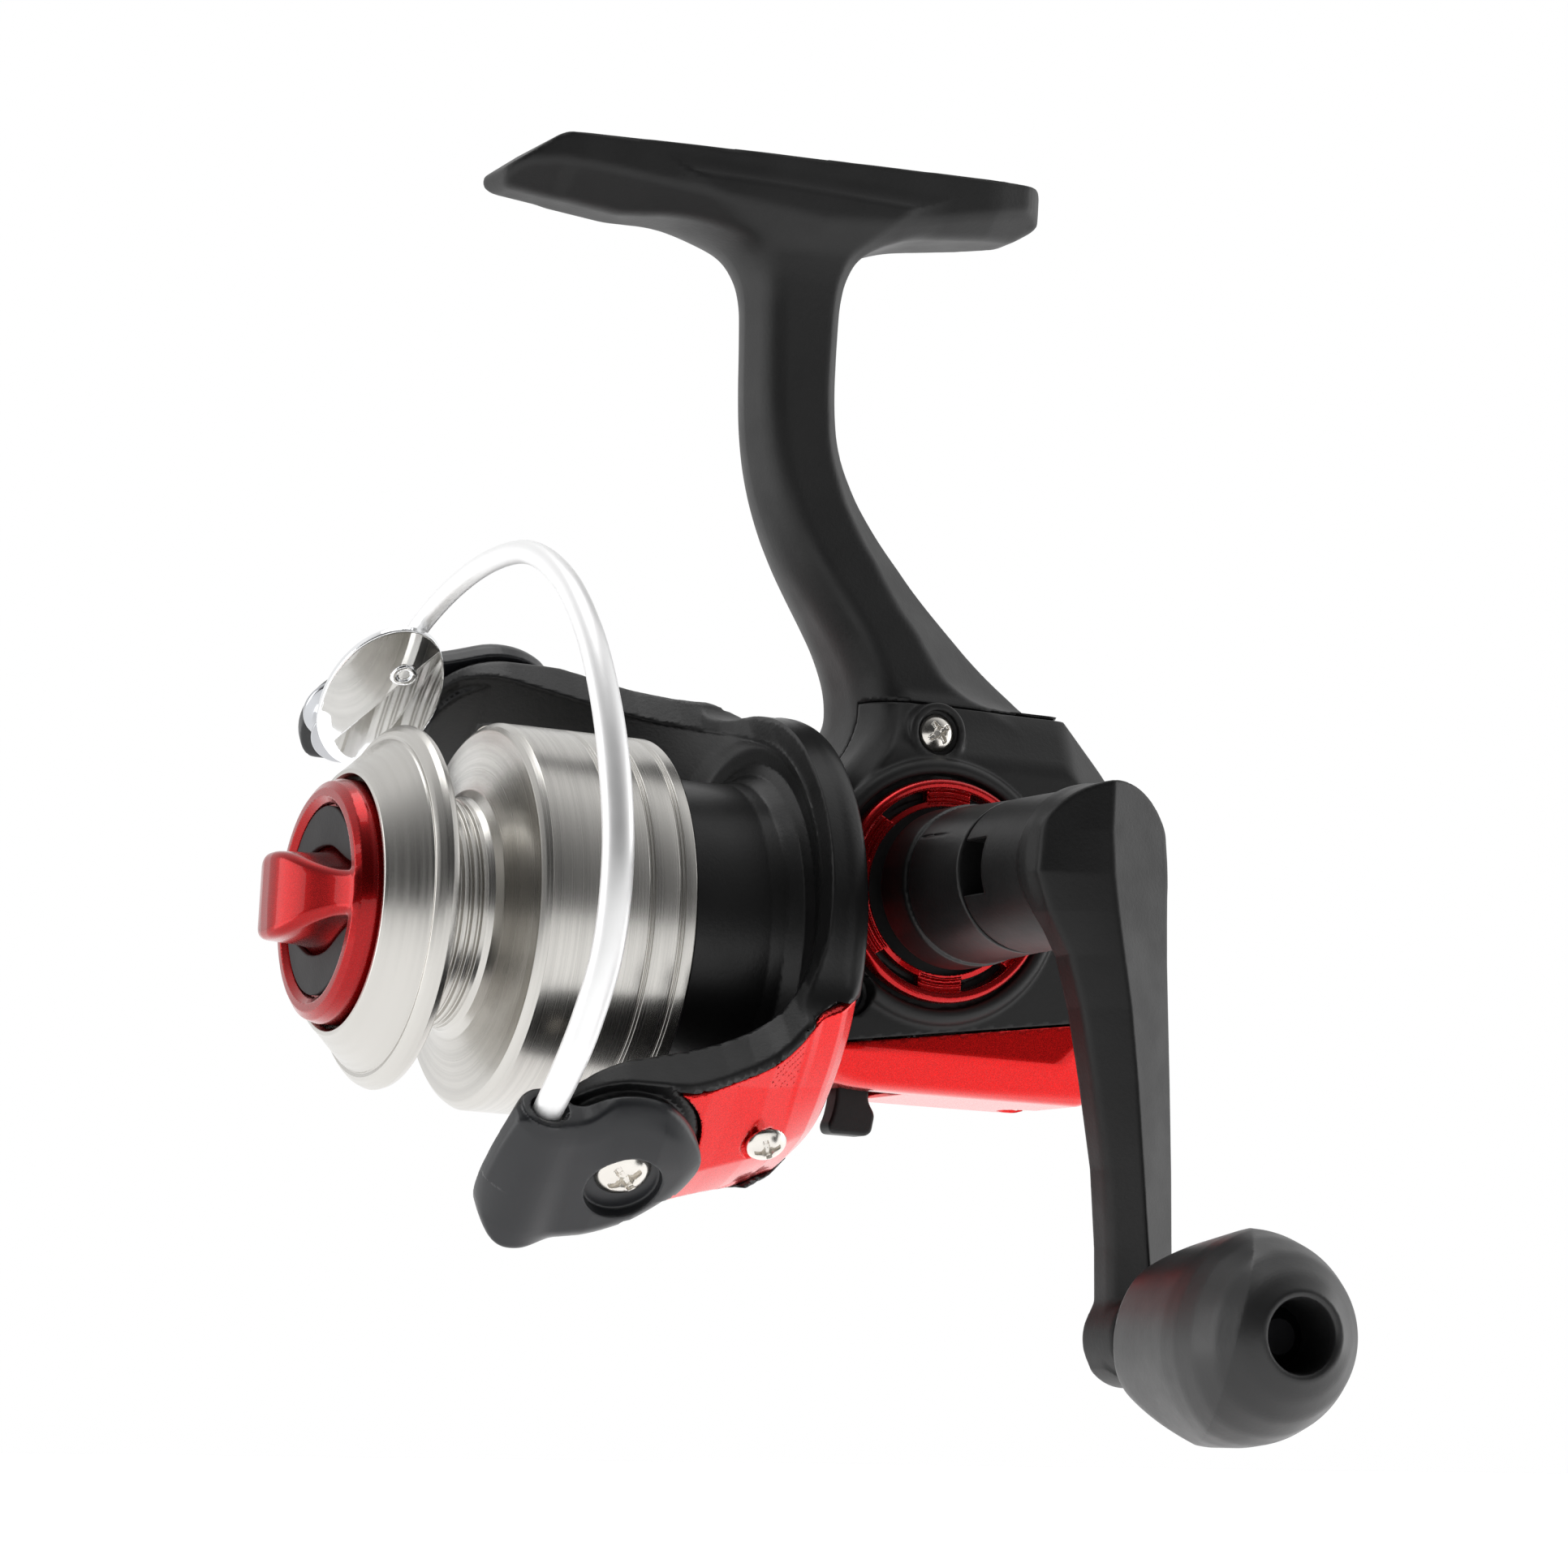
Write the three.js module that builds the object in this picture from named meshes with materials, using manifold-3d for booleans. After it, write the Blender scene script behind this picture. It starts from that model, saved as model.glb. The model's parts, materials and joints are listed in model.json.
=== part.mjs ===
// Small open-face spinning reel, drawn in millimetres.
// Working frame ("mech"): the spool axis is Y (rod tip side is -Y), the handle is on the +X side, the foot is up (+Z).
// The root group turns this into the part frame: foot seat at the origin, seat normal +Z.
import * as THREE from "three";
import { mergeVertices } from "three/addons/utils/BufferGeometryUtils.js";
import Module from "manifold-3d";

const wasm = await Module();
wasm.setup();
const V = (x, y, z) => new THREE.Vector3(x, y, z);
const D2R = Math.PI / 180;

// ---------- driving dimensions ----------
const SEAT_TILT = 2.38; // degrees between the spool axis and the foot seat
const SEAT = { y: -15.45, z: 77.6 }; // centre of the foot seat in the working frame
const HZ = 5.6; // handle axis height above the spool axis
const ROTOR_PHASE = 42; // degrees, near rotor arm measured from straight down towards +X
const PIVOT_Y = -36.3; // bail pivot along the spool axis
const LIP_R = 17.5, LIP_Y = -52.8; // spool lip
const SKIRT_R = 18.7, SKIRT_FRONT = -43.4, SKIRT_REAR = -28.5;
const ARBOR_R = 11.05;
const DRUM_R = 15.2, DRUM_FRONT = -35.3; // rotor drum inside the skirt
const SHAFT_R = 1.3, PINION_BORE = 1.55;
const GEAR_TEETH = 40, PINION_TEETH = 8; // 5 rotor turns per crank turn
const GEAR_PITCH_R = 9.4, GEAR_OUT_R = 10.2, GEAR_IN_R = 8.6;
const PINION_TIP = 3.05, PINION_ROOT = 2.1, PINION_TWIST = -0.377; // rad per mm
const OSC_DRIVE_TEETH = 10, OSC_TEETH = 24, OSC_MODULE = 0.7;
const OSC_Y = 9.0, OSC_Z = -2.2; // oscillation gear centre
const CASE_X = 11.05; // half width of the gear case
const PART_X = 3.5; // parting plane of the side cover
const RING_R = 10.96; // red ring on the side cover
const CRANK = { x: 46, knobY: 5.8, knobZ: -37.8 };
const FOLD = { x: 30.5, y: 6.0 }; // folding pin, parallel to Z
const WIRE_R = 1.55;
const FACETS = 0.82; // share of the written facet count kept on large turned faces

const ph = ROTOR_PHASE * D2R;
const N = V(Math.sin(ph), 0, -Math.cos(ph)); // bail pivot axis, near side positive
const TT = V(Math.cos(ph), 0, Math.sin(ph)); // across the rotor arm
const X = V(1, 0, 0), Y = V(0, 1, 0), Z = V(0, 0, 1);

// ---------- solids ----------
function solid(g) {
  let geo = g.clone();
  geo.deleteAttribute("normal");
  geo.deleteAttribute("uv");
  geo = mergeVertices(geo, 1e-4);
  const src = geo.index.array, out = [];
  for (let i = 0; i < src.length; i += 3) {
    const a = src[i], b = src[i + 1], c = src[i + 2];
    if (a !== b && b !== c && a !== c) out.push(a, b, c);
  }
  const pos = new Float32Array(geo.attributes.position.array);
  const make = (t) => new wasm.Manifold(new wasm.Mesh({ numProp: 3, vertProperties: pos, triVerts: new Uint32Array(t) }));
  let m = make(out);
  if (m.volume() < 0) {
    const flip = [];
    for (let i = 0; i < out.length; i += 3) flip.push(out[i], out[i + 2], out[i + 1]);
    m = make(flip);
  }
  return m;
}
const add = (...s) => s.reduce((a, b) => a.add(b));
const sub = (a, ...s) => s.reduce((m, b) => m.subtract(b), a);
const cut = (a, b) => a.intersect(b);

// closed profile of [radius, axial] pairs turned round the line through o along dir
function lathe(profile, seg, o = V(0, 0, 0), dir = Y, phase = 0) {
  if (seg >= 18) seg = 2 * Math.round((seg * FACETS) / 2);
  const pts = profile.map(([r, a]) => new THREE.Vector2(r, a));
  if (profile[0][0] > 1e-6 || profile[profile.length - 1][0] > 1e-6) pts.push(pts[0].clone());
  const g = new THREE.LatheGeometry(pts, seg);
  if (phase) g.rotateY(phase);
  g.applyQuaternion(new THREE.Quaternion().setFromUnitVectors(Y, dir));
  g.translate(o.x, o.y, o.z);
  return solid(g);
}
const rod = (r, a0, a1, seg, o, dir, c = 0) => lathe(c ? [[0, a0], [r - c, a0], [r, a0 + c], [r, a1 - c], [r - c, a1], [0, a1]] : [[0, a0], [r, a0], [r, a1], [0, a1]], seg, o, dir);
const tube = (r0, r1, a0, a1, seg, o, dir) => lathe([[r0, a0], [r1, a0], [r1, a1], [r0, a1]], seg, o, dir);

// polygon in the plane (u, v) pushed along w = u x v from w0 to w1
function prism(pts, w0, w1, o = V(0, 0, 0), u = Y, v = Z, holes = [], bevel = 0) {
  const s = new THREE.Shape(pts.map((p) => new THREE.Vector2(p[0], p[1])));
  for (const h of holes) s.holes.push(new THREE.Path(h.map((p) => new THREE.Vector2(p[0], p[1]))));
  const w = new THREE.Vector3().crossVectors(u, v);
  const opt = { depth: w1 - w0 - 2 * bevel, bevelEnabled: bevel > 0, curveSegments: 1, steps: 1 };
  if (bevel > 0) Object.assign(opt, { bevelThickness: bevel, bevelSize: bevel, bevelOffset: -bevel, bevelSegments: 1 });
  const g = new THREE.ExtrudeGeometry(s, opt);
  g.translate(0, 0, w0 + bevel);
  g.applyMatrix4(new THREE.Matrix4().makeBasis(u, v, w));
  g.translate(o.x, o.y, o.z);
  return solid(g);
}
const circle = (cx, cy, r, n, a0 = 0) => Array.from({ length: n }, (_, i) => [cx + r * Math.cos(a0 + (2 * Math.PI * i) / n), cy + r * Math.sin(a0 + (2 * Math.PI * i) / n)]);
const box = (x0, x1, y0, y1, z0, z1) => {
  const g = new THREE.BoxGeometry(x1 - x0, y1 - y0, z1 - z0);
  g.translate((x0 + x1) / 2, (y0 + y1) / 2, (z0 + z1) / 2);
  return solid(g);
};

// skin over rings of equally many points, closed by a fan at each end
function loft(rings, closedLoop = false) {
  const n = rings[0].length, pos = [], idx = [];
  rings.forEach((r) => r.forEach((p) => pos.push(p.x, p.y, p.z)));
  const m = rings.length;
  for (let i = 0; i < (closedLoop ? m : m - 1); i++)
    for (let j = 0; j < n; j++) {
      const a = i * n + j, b = i * n + ((j + 1) % n), i2 = (i + 1) % m, c = i2 * n + j, d = i2 * n + ((j + 1) % n);
      idx.push(a, b, d, a, d, c);
    }
  if (!closedLoop)
    for (const end of [0, m - 1]) {
      const c = rings[end].reduce((s, p) => s.add(p), V(0, 0, 0)).divideScalar(n), k = pos.length / 3;
      pos.push(c.x, c.y, c.z);
      for (let j = 0; j < n; j++) {
        const a = end * n + j, b = end * n + ((j + 1) % n);
        end === 0 ? idx.push(k, b, a) : idx.push(k, a, b);
      }
    }
  const g = new THREE.BufferGeometry();
  g.setAttribute("position", new THREE.BufferAttribute(new Float32Array(pos), 3));
  g.setIndex(idx);
  return solid(g);
}
// round wire along points, with a radius at each point
function wire(points, radii, seg) {
  const rings = [];
  let up = null;
  points.forEach((p, i) => {
    const d = points[Math.min(i + 1, points.length - 1)].clone().sub(points[Math.max(i - 1, 0)]).normalize();
    if (!up) up = Math.abs(d.y) < 0.9 ? V(0, 1, 0) : V(1, 0, 0);
    const a = up.clone().sub(d.clone().multiplyScalar(up.dot(d))).normalize();
    up = a;
    const b = new THREE.Vector3().crossVectors(d, a), r = Array.isArray(radii) ? radii[i] : radii;
    const ra = Array.isArray(r) ? r[0] : r, rb = Array.isArray(r) ? r[1] : r;
    rings.push(Array.from({ length: seg }, (_, k) => {
      const t = (2 * Math.PI * k) / seg;
      return p.clone().addScaledVector(a, ra * Math.cos(t)).addScaledVector(b, rb * Math.sin(t));
    }));
  });
  return loft(rings);
}
// point given by distance along the pivot axis, across the arm, and along the spool axis
const at = (rho, t, y) => V(0, y, 0).addScaledVector(N, rho).addScaledVector(TT, t);

const MAT = {
  black: [0x17181a, 0.62, 0.0], charcoal: [0x2c2e31, 0.5, 0.0], red: [0xb0101a, 0.25, 0.35], alu: [0xb9b6ae, 0.3, 1.0], wire: [0xdadde0, 0.2, 1.0],
  chrome: [0xd7dadd, 0.08, 1.0], steel: [0xa9a69c, 0.3, 1.0], brass: [0xb08a46, 0.35, 1.0], rubber: [0x121213, 0.55, 0.0], felt: [0x5a5348, 0.95, 0.0], zinc: [0x8e9093, 0.45, 1.0], white: [0xd9d6cc, 0.5, 0.0],
};
const root = new THREE.Group();
root.name = "spinning_reel";
const mech = new THREE.Group();
function mesh(name, s, mat) {
  const m = s.getMesh(), n = m.numProp, v = new Float32Array(m.numVert * 3);
  for (let i = 0; i < m.numVert; i++) v.set(m.vertProperties.subarray(i * n, i * n + 3), i * 3);
  const g = new THREE.BufferGeometry();
  g.setAttribute("position", new THREE.BufferAttribute(v, 3));
  g.setIndex(new THREE.BufferAttribute(m.triVerts.slice(), 1));
  const [color, roughness, metalness] = MAT[mat];
  const o = new THREE.Mesh(g, new THREE.MeshStandardMaterial({ color, roughness, metalness }));
  o.name = name;
  mech.add(o);
}
// Phillips screw: domed head, shank, cross recess; o is under the head, dir points out of the head
function screw(name, o, dir, headR, headH, shankR, shankL, mat = "steel") {
  const s = add(
    lathe([[0, 0], [headR, 0], [headR, headH * 0.35], [headR * 0.72, headH * 0.85], [0, headH]], 10, o, dir),
    rod(shankR, -shankL, 0.01, 6, o, dir),
  );
  const q = new THREE.Quaternion().setFromUnitVectors(Y, dir);
  const a = V(1, 0, 0).applyQuaternion(q), b = V(0, 0, 1).applyQuaternion(q);
  const w = headR * 0.16, l = headR * 0.62;
  const bar = (u, v) => prism([[-l, -w], [l, -w], [l, w], [-l, w]], headH * 0.3, headH * 1.5, o, u, v);
  const up = new THREE.Vector3().crossVectors(a, b).dot(dir) > 0;
  mesh(name, sub(s, up ? bar(a, b) : bar(b, a), up ? bar(b, a.clone().negate()) : bar(a, b.clone().negate())), mat);
}

// ---------- gear case, stem and foot ----------
// outline of the case in (y, z), anticlockwise, with the bevel depth at the side face
const CASE = [
  [-12.0, -9.5, 1.2], [-10.6, -13.2, 1.6], [-6.5, -13.95, 1.6], [6, -14.0, 1.6], [18.5, -13.8, 2.0], [22.6, -11.2, 2.6], [25.2, -6, 3.2], [26.2, 0.5, 3.6], [25.6, 7, 4.0],
  [23.4, 13.2, 4.2], [20.4, 18.1, 4.2], [14.2, 24.3, 4.0], [-5.9, 24.3, 1.6], [-6.2, 21.4, 1.5], [-8.6, 17.8, 1.4], [-11.2, 14.6, 1.2], [-12.0, 11, 1.2],
];
function inset(pts, k) {
  return pts.map((p, i) => {
    const a = pts[(i + pts.length - 1) % pts.length], b = pts[(i + 1) % pts.length];
    const d1 = new THREE.Vector2(p[0] - a[0], p[1] - a[1]).normalize(), d2 = new THREE.Vector2(b[0] - p[0], b[1] - p[1]).normalize();
    const n1 = new THREE.Vector2(-d1.y, d1.x), n2 = new THREE.Vector2(-d2.y, d2.x), n = n1.clone().add(n2).normalize();
    const s = k(p) / Math.max(0.35, n.dot(n1));
    return [p[0] + n.x * s, p[1] + n.y * s];
  });
}
const ringAt = (x, pts) => pts.map(([y, z]) => V(x, y, z));
const caseSolid = loft([
  ringAt(-CASE_X, inset(CASE, (p) => p[2])), ringAt(-CASE_X + 3.4, inset(CASE, () => 0)), ringAt(CASE_X - 3.4, inset(CASE, () => 0)), ringAt(CASE_X, inset(CASE, (p) => p[2])),
]);
const cavity = loft([
  ringAt(-CASE_X + 1.8, inset(CASE, (p) => p[2] + 1.2)), ringAt(-CASE_X + 4.2, inset(CASE, () => 1.5)), ringAt(CASE_X - 4.2, inset(CASE, () => 1.5)), ringAt(CASE_X - 1.8, inset(CASE, (p) => p[2] + 1.2)),
]);
const shell = sub(caseSolid, cavity);
// red line: below it is the lower cover
const splitZ = (y) => -8.4 + 0.15 * y;
const below = (g) => prism([[-30, splitZ(-30) - g], [-30, -30], [40, -30], [40, splitZ(40) - g]], -20, 20, V(0, 0, 0), Y, Z);
const above = (g) => prism([[-30, splitZ(-30) + g], [40, splitZ(40) + g], [40, 60], [-30, 60]], -20, 20, V(0, 0, 0), Y, Z);

// stem: front and rear edge in (y, z), half width in x
const STEM = [
  [19.4, -6.9, 19.6, 6.2], [24.4, -6.1, 14.2, 6.6], [28.6, -7.7, 8.1, 6.3], [32.2, -10.1, 4.1, 6.0], [35.5, -12.5, 0.5, 5.6], [38.5, -14.4, -2.3, 5.3], [41.8, -16.1, -5.2, 5.0], [46.0, -17.6, -8.2, 4.8],
  [50.3, -18.5, -9.9, 4.6], [54.5, -18.9, -10.3, 4.5], [60, -19.1, -10.35, 4.5], [64.9, -19.3, -10.3, 4.7], [67.4, -20.4, -9.6, 5.0], [69.4, -22.6, -8.4, 5.4], [71.6, -27.0, -5.2, 5.8],
];
const stem = loft(STEM.map(([z, f, r, h]) => {
  const d = r - f, e = (y) => z + 0.0416 * (y + 15);
  return [V(-1.2, f, e(f)), V(1.2, f, e(f)), V(h * 0.86, f + d * 0.16, z), V(h, f + d * 0.42, z), V(h, f + d * 0.62, z), V(2.2, r, z), V(-2.2, r, z), V(-h, f + d * 0.62, z), V(-h, f + d * 0.42, z), V(-h * 0.86, f + d * 0.16, z)];
}));
const FOOT = [[-46.8, 72.9], [-46.3, 71.1], [-34, 70.0], [-27.0, 70.6], [-15, 71.2], [-5.2, 71.4], [9.2, 73.6], [11.3, 75.2], [11.5, 78.2], [10.7, 78.6869], [-41.6, 76.5131]];
const footPlan = [[-46.9, -3.4], [-45.6, -4.9], [-40, -6.2], [-20, -6.6], [5, -6.2], [9.6, -5.2], [11.6, -3.0], [11.6, 3.0], [9.6, 5.2], [5, 6.2], [-20, 6.6], [-40, 6.2], [-45.6, 4.9], [-46.9, 3.4]];
const foot = cut(prism(FOOT, -8, 8, V(0, 0, 0), Y, Z), prism(footPlan.map(([y, x]) => [x, y]), -2, 40, V(0, 0, 60), X, Y));

const bearingSeatL = tube(4.25, 5.6, -CASE_X + 1.0, -7.3, 16, V(0, 0, HZ), X);
const pinionBoss = tube(5.1, 7.0, -12.7, -10.4, 20, V(0, 0, 0), Y);
const gearRoom = rod(10.6, 1.9, 6.9, 32, V(0, 0, HZ), X);
const leverHole = rod(1.5, -15, -6.4, 10, V(0, 0, -7.8), Y);
let frame = add(cut(cut(shell, above(0.15)), box(-20, PART_X - 0.15, -40, 40, -40, 24.2)), stem, foot);
frame = sub(frame, box(PART_X - 0.15, 20, -40, 40, -40, 24.45), cavity);
frame = add(frame, bearingSeatL, pinionBoss, rod(0.8, -14.1, -11.5, 8, V(-6.8, 0, -7.2), Y),
  prism([[-10.8, -8.6], [-7.4, -8.6], [-7.4, -5.9], [-10.8, -5.9]], -4.4, -1.2, V(0, 0, 0), Y, Z)); // front lug of the guide rod
frame = add(frame, rod(1.05, -CASE_X + 1.2, -6.0, 10, V(0, OSC_Y, OSC_Z), X)); // axle of the oscillation gear
const coverBosses = [[-0.6, 21.3, 1.9], [19.2, 8.2, 1.9], [-8.9, -5.1, 1.45]];
frame = add(frame, ...coverBosses.map(([y, z, r]) => rod(r, -CASE_X + 1.2, PART_X - 0.2, 10, V(0, y, z), X)));
frame = sub(frame, rod(5.09, -13, -8.4, 20, V(0, 0, 0), Y), gearRoom, leverHole, rod(1.05, -9.6, 22.0, 8, V(-2.8, 0, -7.2), Y), rod(4.24, -9.4, -5, 16, V(0, 0, HZ), X), rod(2.9, -12, -5, 14, V(0, 0, HZ), X),
  ...coverBosses.map(([y, z]) => rod(0.95, -4.8, 5, 8, V(0, y, z), X)), below(-0.14));
// rear lug of the guide rod, and under it the boss for the lower cover's screw
frame = add(frame, prism([[18.6, -8.6], [22.4, -8.6], [22.4, -4.9], [18.6, -4.9]], -8.6, -1.2, V(0, 0, 0), Y, Z), prism([[18.6, -10.2], [20.2, -10.2], [20.2, -8.5], [18.6, -8.5]], -5.2, -2.8, V(0, 0, 0), Y, Z),
  prism([[18.6, -8.6], [22.4, -8.6], [22.4, -2.6], [18.6, -2.6]], -9.6, -5.4, V(0, 0, 0), Y, Z), rod(1.7, -11.6, -8.75, 10, V(-4, 17.6, 0), Z));
frame = sub(frame, rod(1.05, 10, 22.0, 8, V(-2.8, 0, -7.2), Y), rod(0.95, -20, -9.0, 8, V(-4, 17.6, 0), Z));
mesh("main_frame", frame, "black");

const rimZ = HZ;
let sideCover = cut(cut(shell, above(0.15)), box(PART_X + 0.15, 20, -40, 40, -40, 24.2));
sideCover = add(sideCover, lathe([[11.25, CASE_X - 0.9], [12.9, CASE_X - 0.9], [12.4, CASE_X + 1.1], [11.9, CASE_X + 1.35], [11.25, CASE_X + 1.0]], 30, V(0, 0, rimZ), X),
  tube(4.25, 5.6, 7.1, CASE_X - 0.6, 16, V(0, 0, HZ), X));
sideCover = sub(sideCover, rod(7.35, -13, -7, 20, V(0, 0, 0), Y), gearRoom, rod(4.24, 6.5, 10.2, 16, V(0, 0, HZ), X), rod(2.9, 6, 14, 14, V(0, 0, HZ), X),
  ...coverBosses.map(([y, z]) => add(rod(1.1, PART_X, 14, 8, V(0, y, z), X), rod(2.35, CASE_X - 1.1, 14, 16, V(0, y, z), X))));
// keep only the cover itself where the rim would stand out in front of the case
sideCover = cut(sideCover, box(0, 20, -12.05, 40, -40, 40));
mesh("side_cover", sideCover, "black");

// red ring: outer and inner rims joined by six ribbed blocks
{
  const x0 = CASE_X + 0.3;
  let ring = add(
    lathe([[9.9, x0], [RING_R, x0], [RING_R, x0 + 1.5], [RING_R - 0.4, x0 + 1.9], [9.9, x0 + 1.7]], 30, V(0, 0, HZ), X),
    lathe([[8.25, x0], [8.75, x0], [8.75, x0 + 1.5], [8.25, x0 + 1.7]], 24, V(0, 0, HZ), X),
  );
  for (let k = 0; k < 6; k++) {
    const a = (30 + 60 * k) * D2R, u = V(0, Math.cos(a), Math.sin(a)), v = V(0, -Math.sin(a), Math.cos(a));
    const ribs = [];
    for (let i = 0; i < 2; i++) ribs.push(prism([[8.6 + i * 0.75, 0.75], [8.95 + i * 0.75, 1.35], [9.3 + i * 0.75, 0.75]], -1.3, 1.3, V(x0, 0, HZ), u, X));
    ring = add(ring, prism([[8.5, 0], [10.1, 0], [10.1, 0.9], [8.5, 0.9]], -1.4, 1.4, V(x0, 0, HZ), u, X), ...ribs);
  }
  mesh("side_cover_ring", ring, "red");
}

let lower = cut(shell, below(0.15));
lower = sub(lower, box(-2.2, 5.6, -6.9, -0.2, -16, -11), rod(1.1, -16, -9, 8, V(-4, 17.6, 0), Z), rod(2.35, -16, -12.8, 10, V(-4, 17.6, 0), Z), box(-9.95, -0.8, 18.2, 22.8, -10.6, -2));
mesh("lower_cover", lower, "red");

screw("cover_screw_top", V(CASE_X - 0.9, -0.6, 21.3), X, 1.85, 1.1, 0.8, 10);
screw("cover_screw_rear", V(CASE_X - 0.9, 19.2, 8.2), X, 1.85, 1.1, 0.8, 10);
screw("cover_screw_front", V(CASE_X - 0.9, -8.9, -5.1), X, 1.85, 1.1, 0.8, 10);
screw("lower_cover_screw", V(-4, 17.6, -13.0), V(0, 0, -1), 1.9, 1.0, 0.8, 3.4);

// ---------- drive train ----------
mesh("drive_bearing_left", lathe([[2.6, -9.2], [3.9, -9.2], [4.05, -9.0], [4.05, -7.4], [3.9, -7.2], [2.6, -7.2]], 14, V(0, 0, HZ), X), "steel");
mesh("drive_bearing_right", lathe([[2.6, 7.2], [3.9, 7.2], [4.05, 7.4], [4.05, 9.7], [3.9, 9.9], [2.6, 9.9]], 14, V(0, 0, HZ), X), "steel");
{
  let g = add(
    lathe([[0, 4.2], [GEAR_OUT_R, 4.2], [GEAR_OUT_R, 5.9], [4.2, 6.4], [0, 6.4]], 40, V(0, 0, HZ), X),
    rod(2.35, -9.9, 12.2, 14, V(0, 0, HZ), X), rod(3.6, 1.9, 4.4, 14, V(0, 0, HZ), X),
  );
  // face teeth, thin bars along the pinion's helix where they meet it
  const ty = -Math.sqrt(GEAR_PITCH_R ** 2 - HZ ** 2), base = Math.atan2(-HZ, ty);
  const dir = new THREE.Vector2(1, -PINION_TWIST * 2.7).normalize();
  const skew = Math.atan2(dir.y, dir.x) - base;
  for (let k = 0; k < GEAR_TEETH; k++) {
    const a = base + (2 * Math.PI * k) / GEAR_TEETH, c = [GEAR_PITCH_R * Math.cos(a), GEAR_PITCH_R * Math.sin(a)];
    const u = [Math.cos(a + skew), Math.sin(a + skew)], n = [-u[1], u[0]], l = 0.72;
    const P = (s, w) => [c[0] + u[0] * s + n[0] * w, c[1] + u[1] * s + n[1] * w];
    const ring = (x, w, e) => [P(-l - e, -w), P(l + e, -w), P(l + e, w), P(-l - e, w)].map(([y, z]) => V(x, y, z + HZ));
    g = add(g, loft([ring(4.3, 0.34, 0.02), ring(2.5, 0.16, 0)]));
  }
  // small gear that drives the oscillation gear, and the bore for the handle shaft
  g = add(g, spur(OSC_DRIVE_TEETH, -6.9, -5.0, 0, HZ, 0.5));
  mesh("drive_gear", sub(g, rod(1.5, -12, 14, 6, V(0, 0, HZ), X)), "zinc");
}
function spur(teeth, x0, x1, cy, cz, phase) {
  const m = OSC_MODULE, rp = (m * teeth) / 2, ra = rp + 0.52, rf = rp - 0.68, pts = [], p = (2 * Math.PI) / teeth;
  for (let i = 0; i < teeth; i++) {
    const c = (i + phase) * p;
    for (const [r, f] of [[rf, -0.26], [ra, -0.08], [ra, 0.08], [rf, 0.26]]) pts.push([cy + r * Math.cos(c + f * p), cz + r * Math.sin(c + f * p)]);
  }
  return prism(pts, x0, x1, V(0, 0, 0), Y, Z);
}
{
  const dy = OSC_Y, dz = OSC_Z - HZ, ang = Math.atan2(dz, dy); // direction from drive to oscillation gear
  const pA = (2 * Math.PI) / OSC_DRIVE_TEETH, pB = (2 * Math.PI) / OSC_TEETH;
  // drive tooth centres are at (i + 0.5) pA; the phase of the follower puts a gap against the tooth nearest the line of centres
  const near = Math.round(ang / pA - 0.5), off = ang - (near + 0.5) * pA; // how far the tooth is behind the line
  const phaseB = (ang + Math.PI + off * (OSC_DRIVE_TEETH / OSC_TEETH)) / pB + 0.5;
  let g = add(spur(OSC_TEETH, -6.9, -5.0, OSC_Y, OSC_Z, phaseB), rod(2.2, -8.9, -5.0, 12, V(0, OSC_Y, OSC_Z), X));
  g = sub(add(g, rod(0.95, -5.2, -4.65, 10, V(0, OSC_Y, OSC_Z - 3.5), X)), rod(1.25, -10, -5.6, 10, V(0, OSC_Y, OSC_Z), X));
  mesh("oscillation_gear", g, "white");
}
{
  let s = prism([[4.2, -8.4], [12.8, -8.4], [12.8, -3.2], [17.2, -2.6], [17.2, 2.4], [6, 2.6], [4.2, 1.2]], -3.6, -2.0, V(0, 0, 0), Y, Z,
    [[[7.7, -6.6], [10.3, -6.6], [10.3, 1.0], [9.6, 1.7], [8.4, 1.7], [7.7, 1.0]]]);
  s = add(s, prism([[13.2, -2.5], [17.2, -2.5], [17.2, 2.4], [13.2, 2.4]], -2.4, 2.4, V(0, 0, 0), Y, Z), rod(1.7, 4.2, 11.5, 10, V(-2.8, 0, -7.2), Y));
  s = sub(s, rod(1.5, 10, 15.4, 10, V(0, 0, 0), Y), rod(0.95, 15, 20, 8, V(0, 0, 0), Y), rod(1.15, 0, 20, 8, V(-2.8, 0, -7.2), Y));
  mesh("oscillation_slider", s, "zinc");
  screw("slider_screw", V(0, 17.4, 0), Y, 1.7, 0.9, 0.7, 1.7);
}
mesh("guide_rod", rod(0.8, -9.3, 21.6, 8, V(-2.8, 0, -7.2), Y), "steel");
{
  // hollow pinion: helical teeth at the rear, plain seat and nose at the front
  const n = PINION_TEETH, rings = [], p = (2 * Math.PI) / n, y0 = -9.7, y1 = -3.9, steps = 4;
  for (let i = 0; i <= steps; i++) {
    const y = y0 + ((y1 - y0) * i) / steps, ty = -Math.sqrt(GEAR_PITCH_R ** 2 - HZ ** 2), ring = [];
    for (let k = 0; k < n; k++)
      for (const [r, f] of [[PINION_ROOT, -0.3], [PINION_TIP, -0.09], [PINION_TIP, 0.09], [PINION_ROOT, 0.3]]) {
        const psi = (k + 0.5 + f) * p + PINION_TWIST * (y - ty);
        ring.push(V(r * Math.cos(psi), y, -r * Math.sin(psi)));
      }
    rings.push(ring);
  }
  let g = add(loft(rings), lathe([[0, -24.6], [2.2, -24.6], [2.4, -24.2], [2.4, -12.9], [2.65, -12.8], [2.65, -9.5], [0, -9.5]], 14));
  mesh("pinion_gear", sub(g, rod(PINION_BORE, -30, 0, 12, V(0, 0, 0), Y)), "brass");
}
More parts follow.
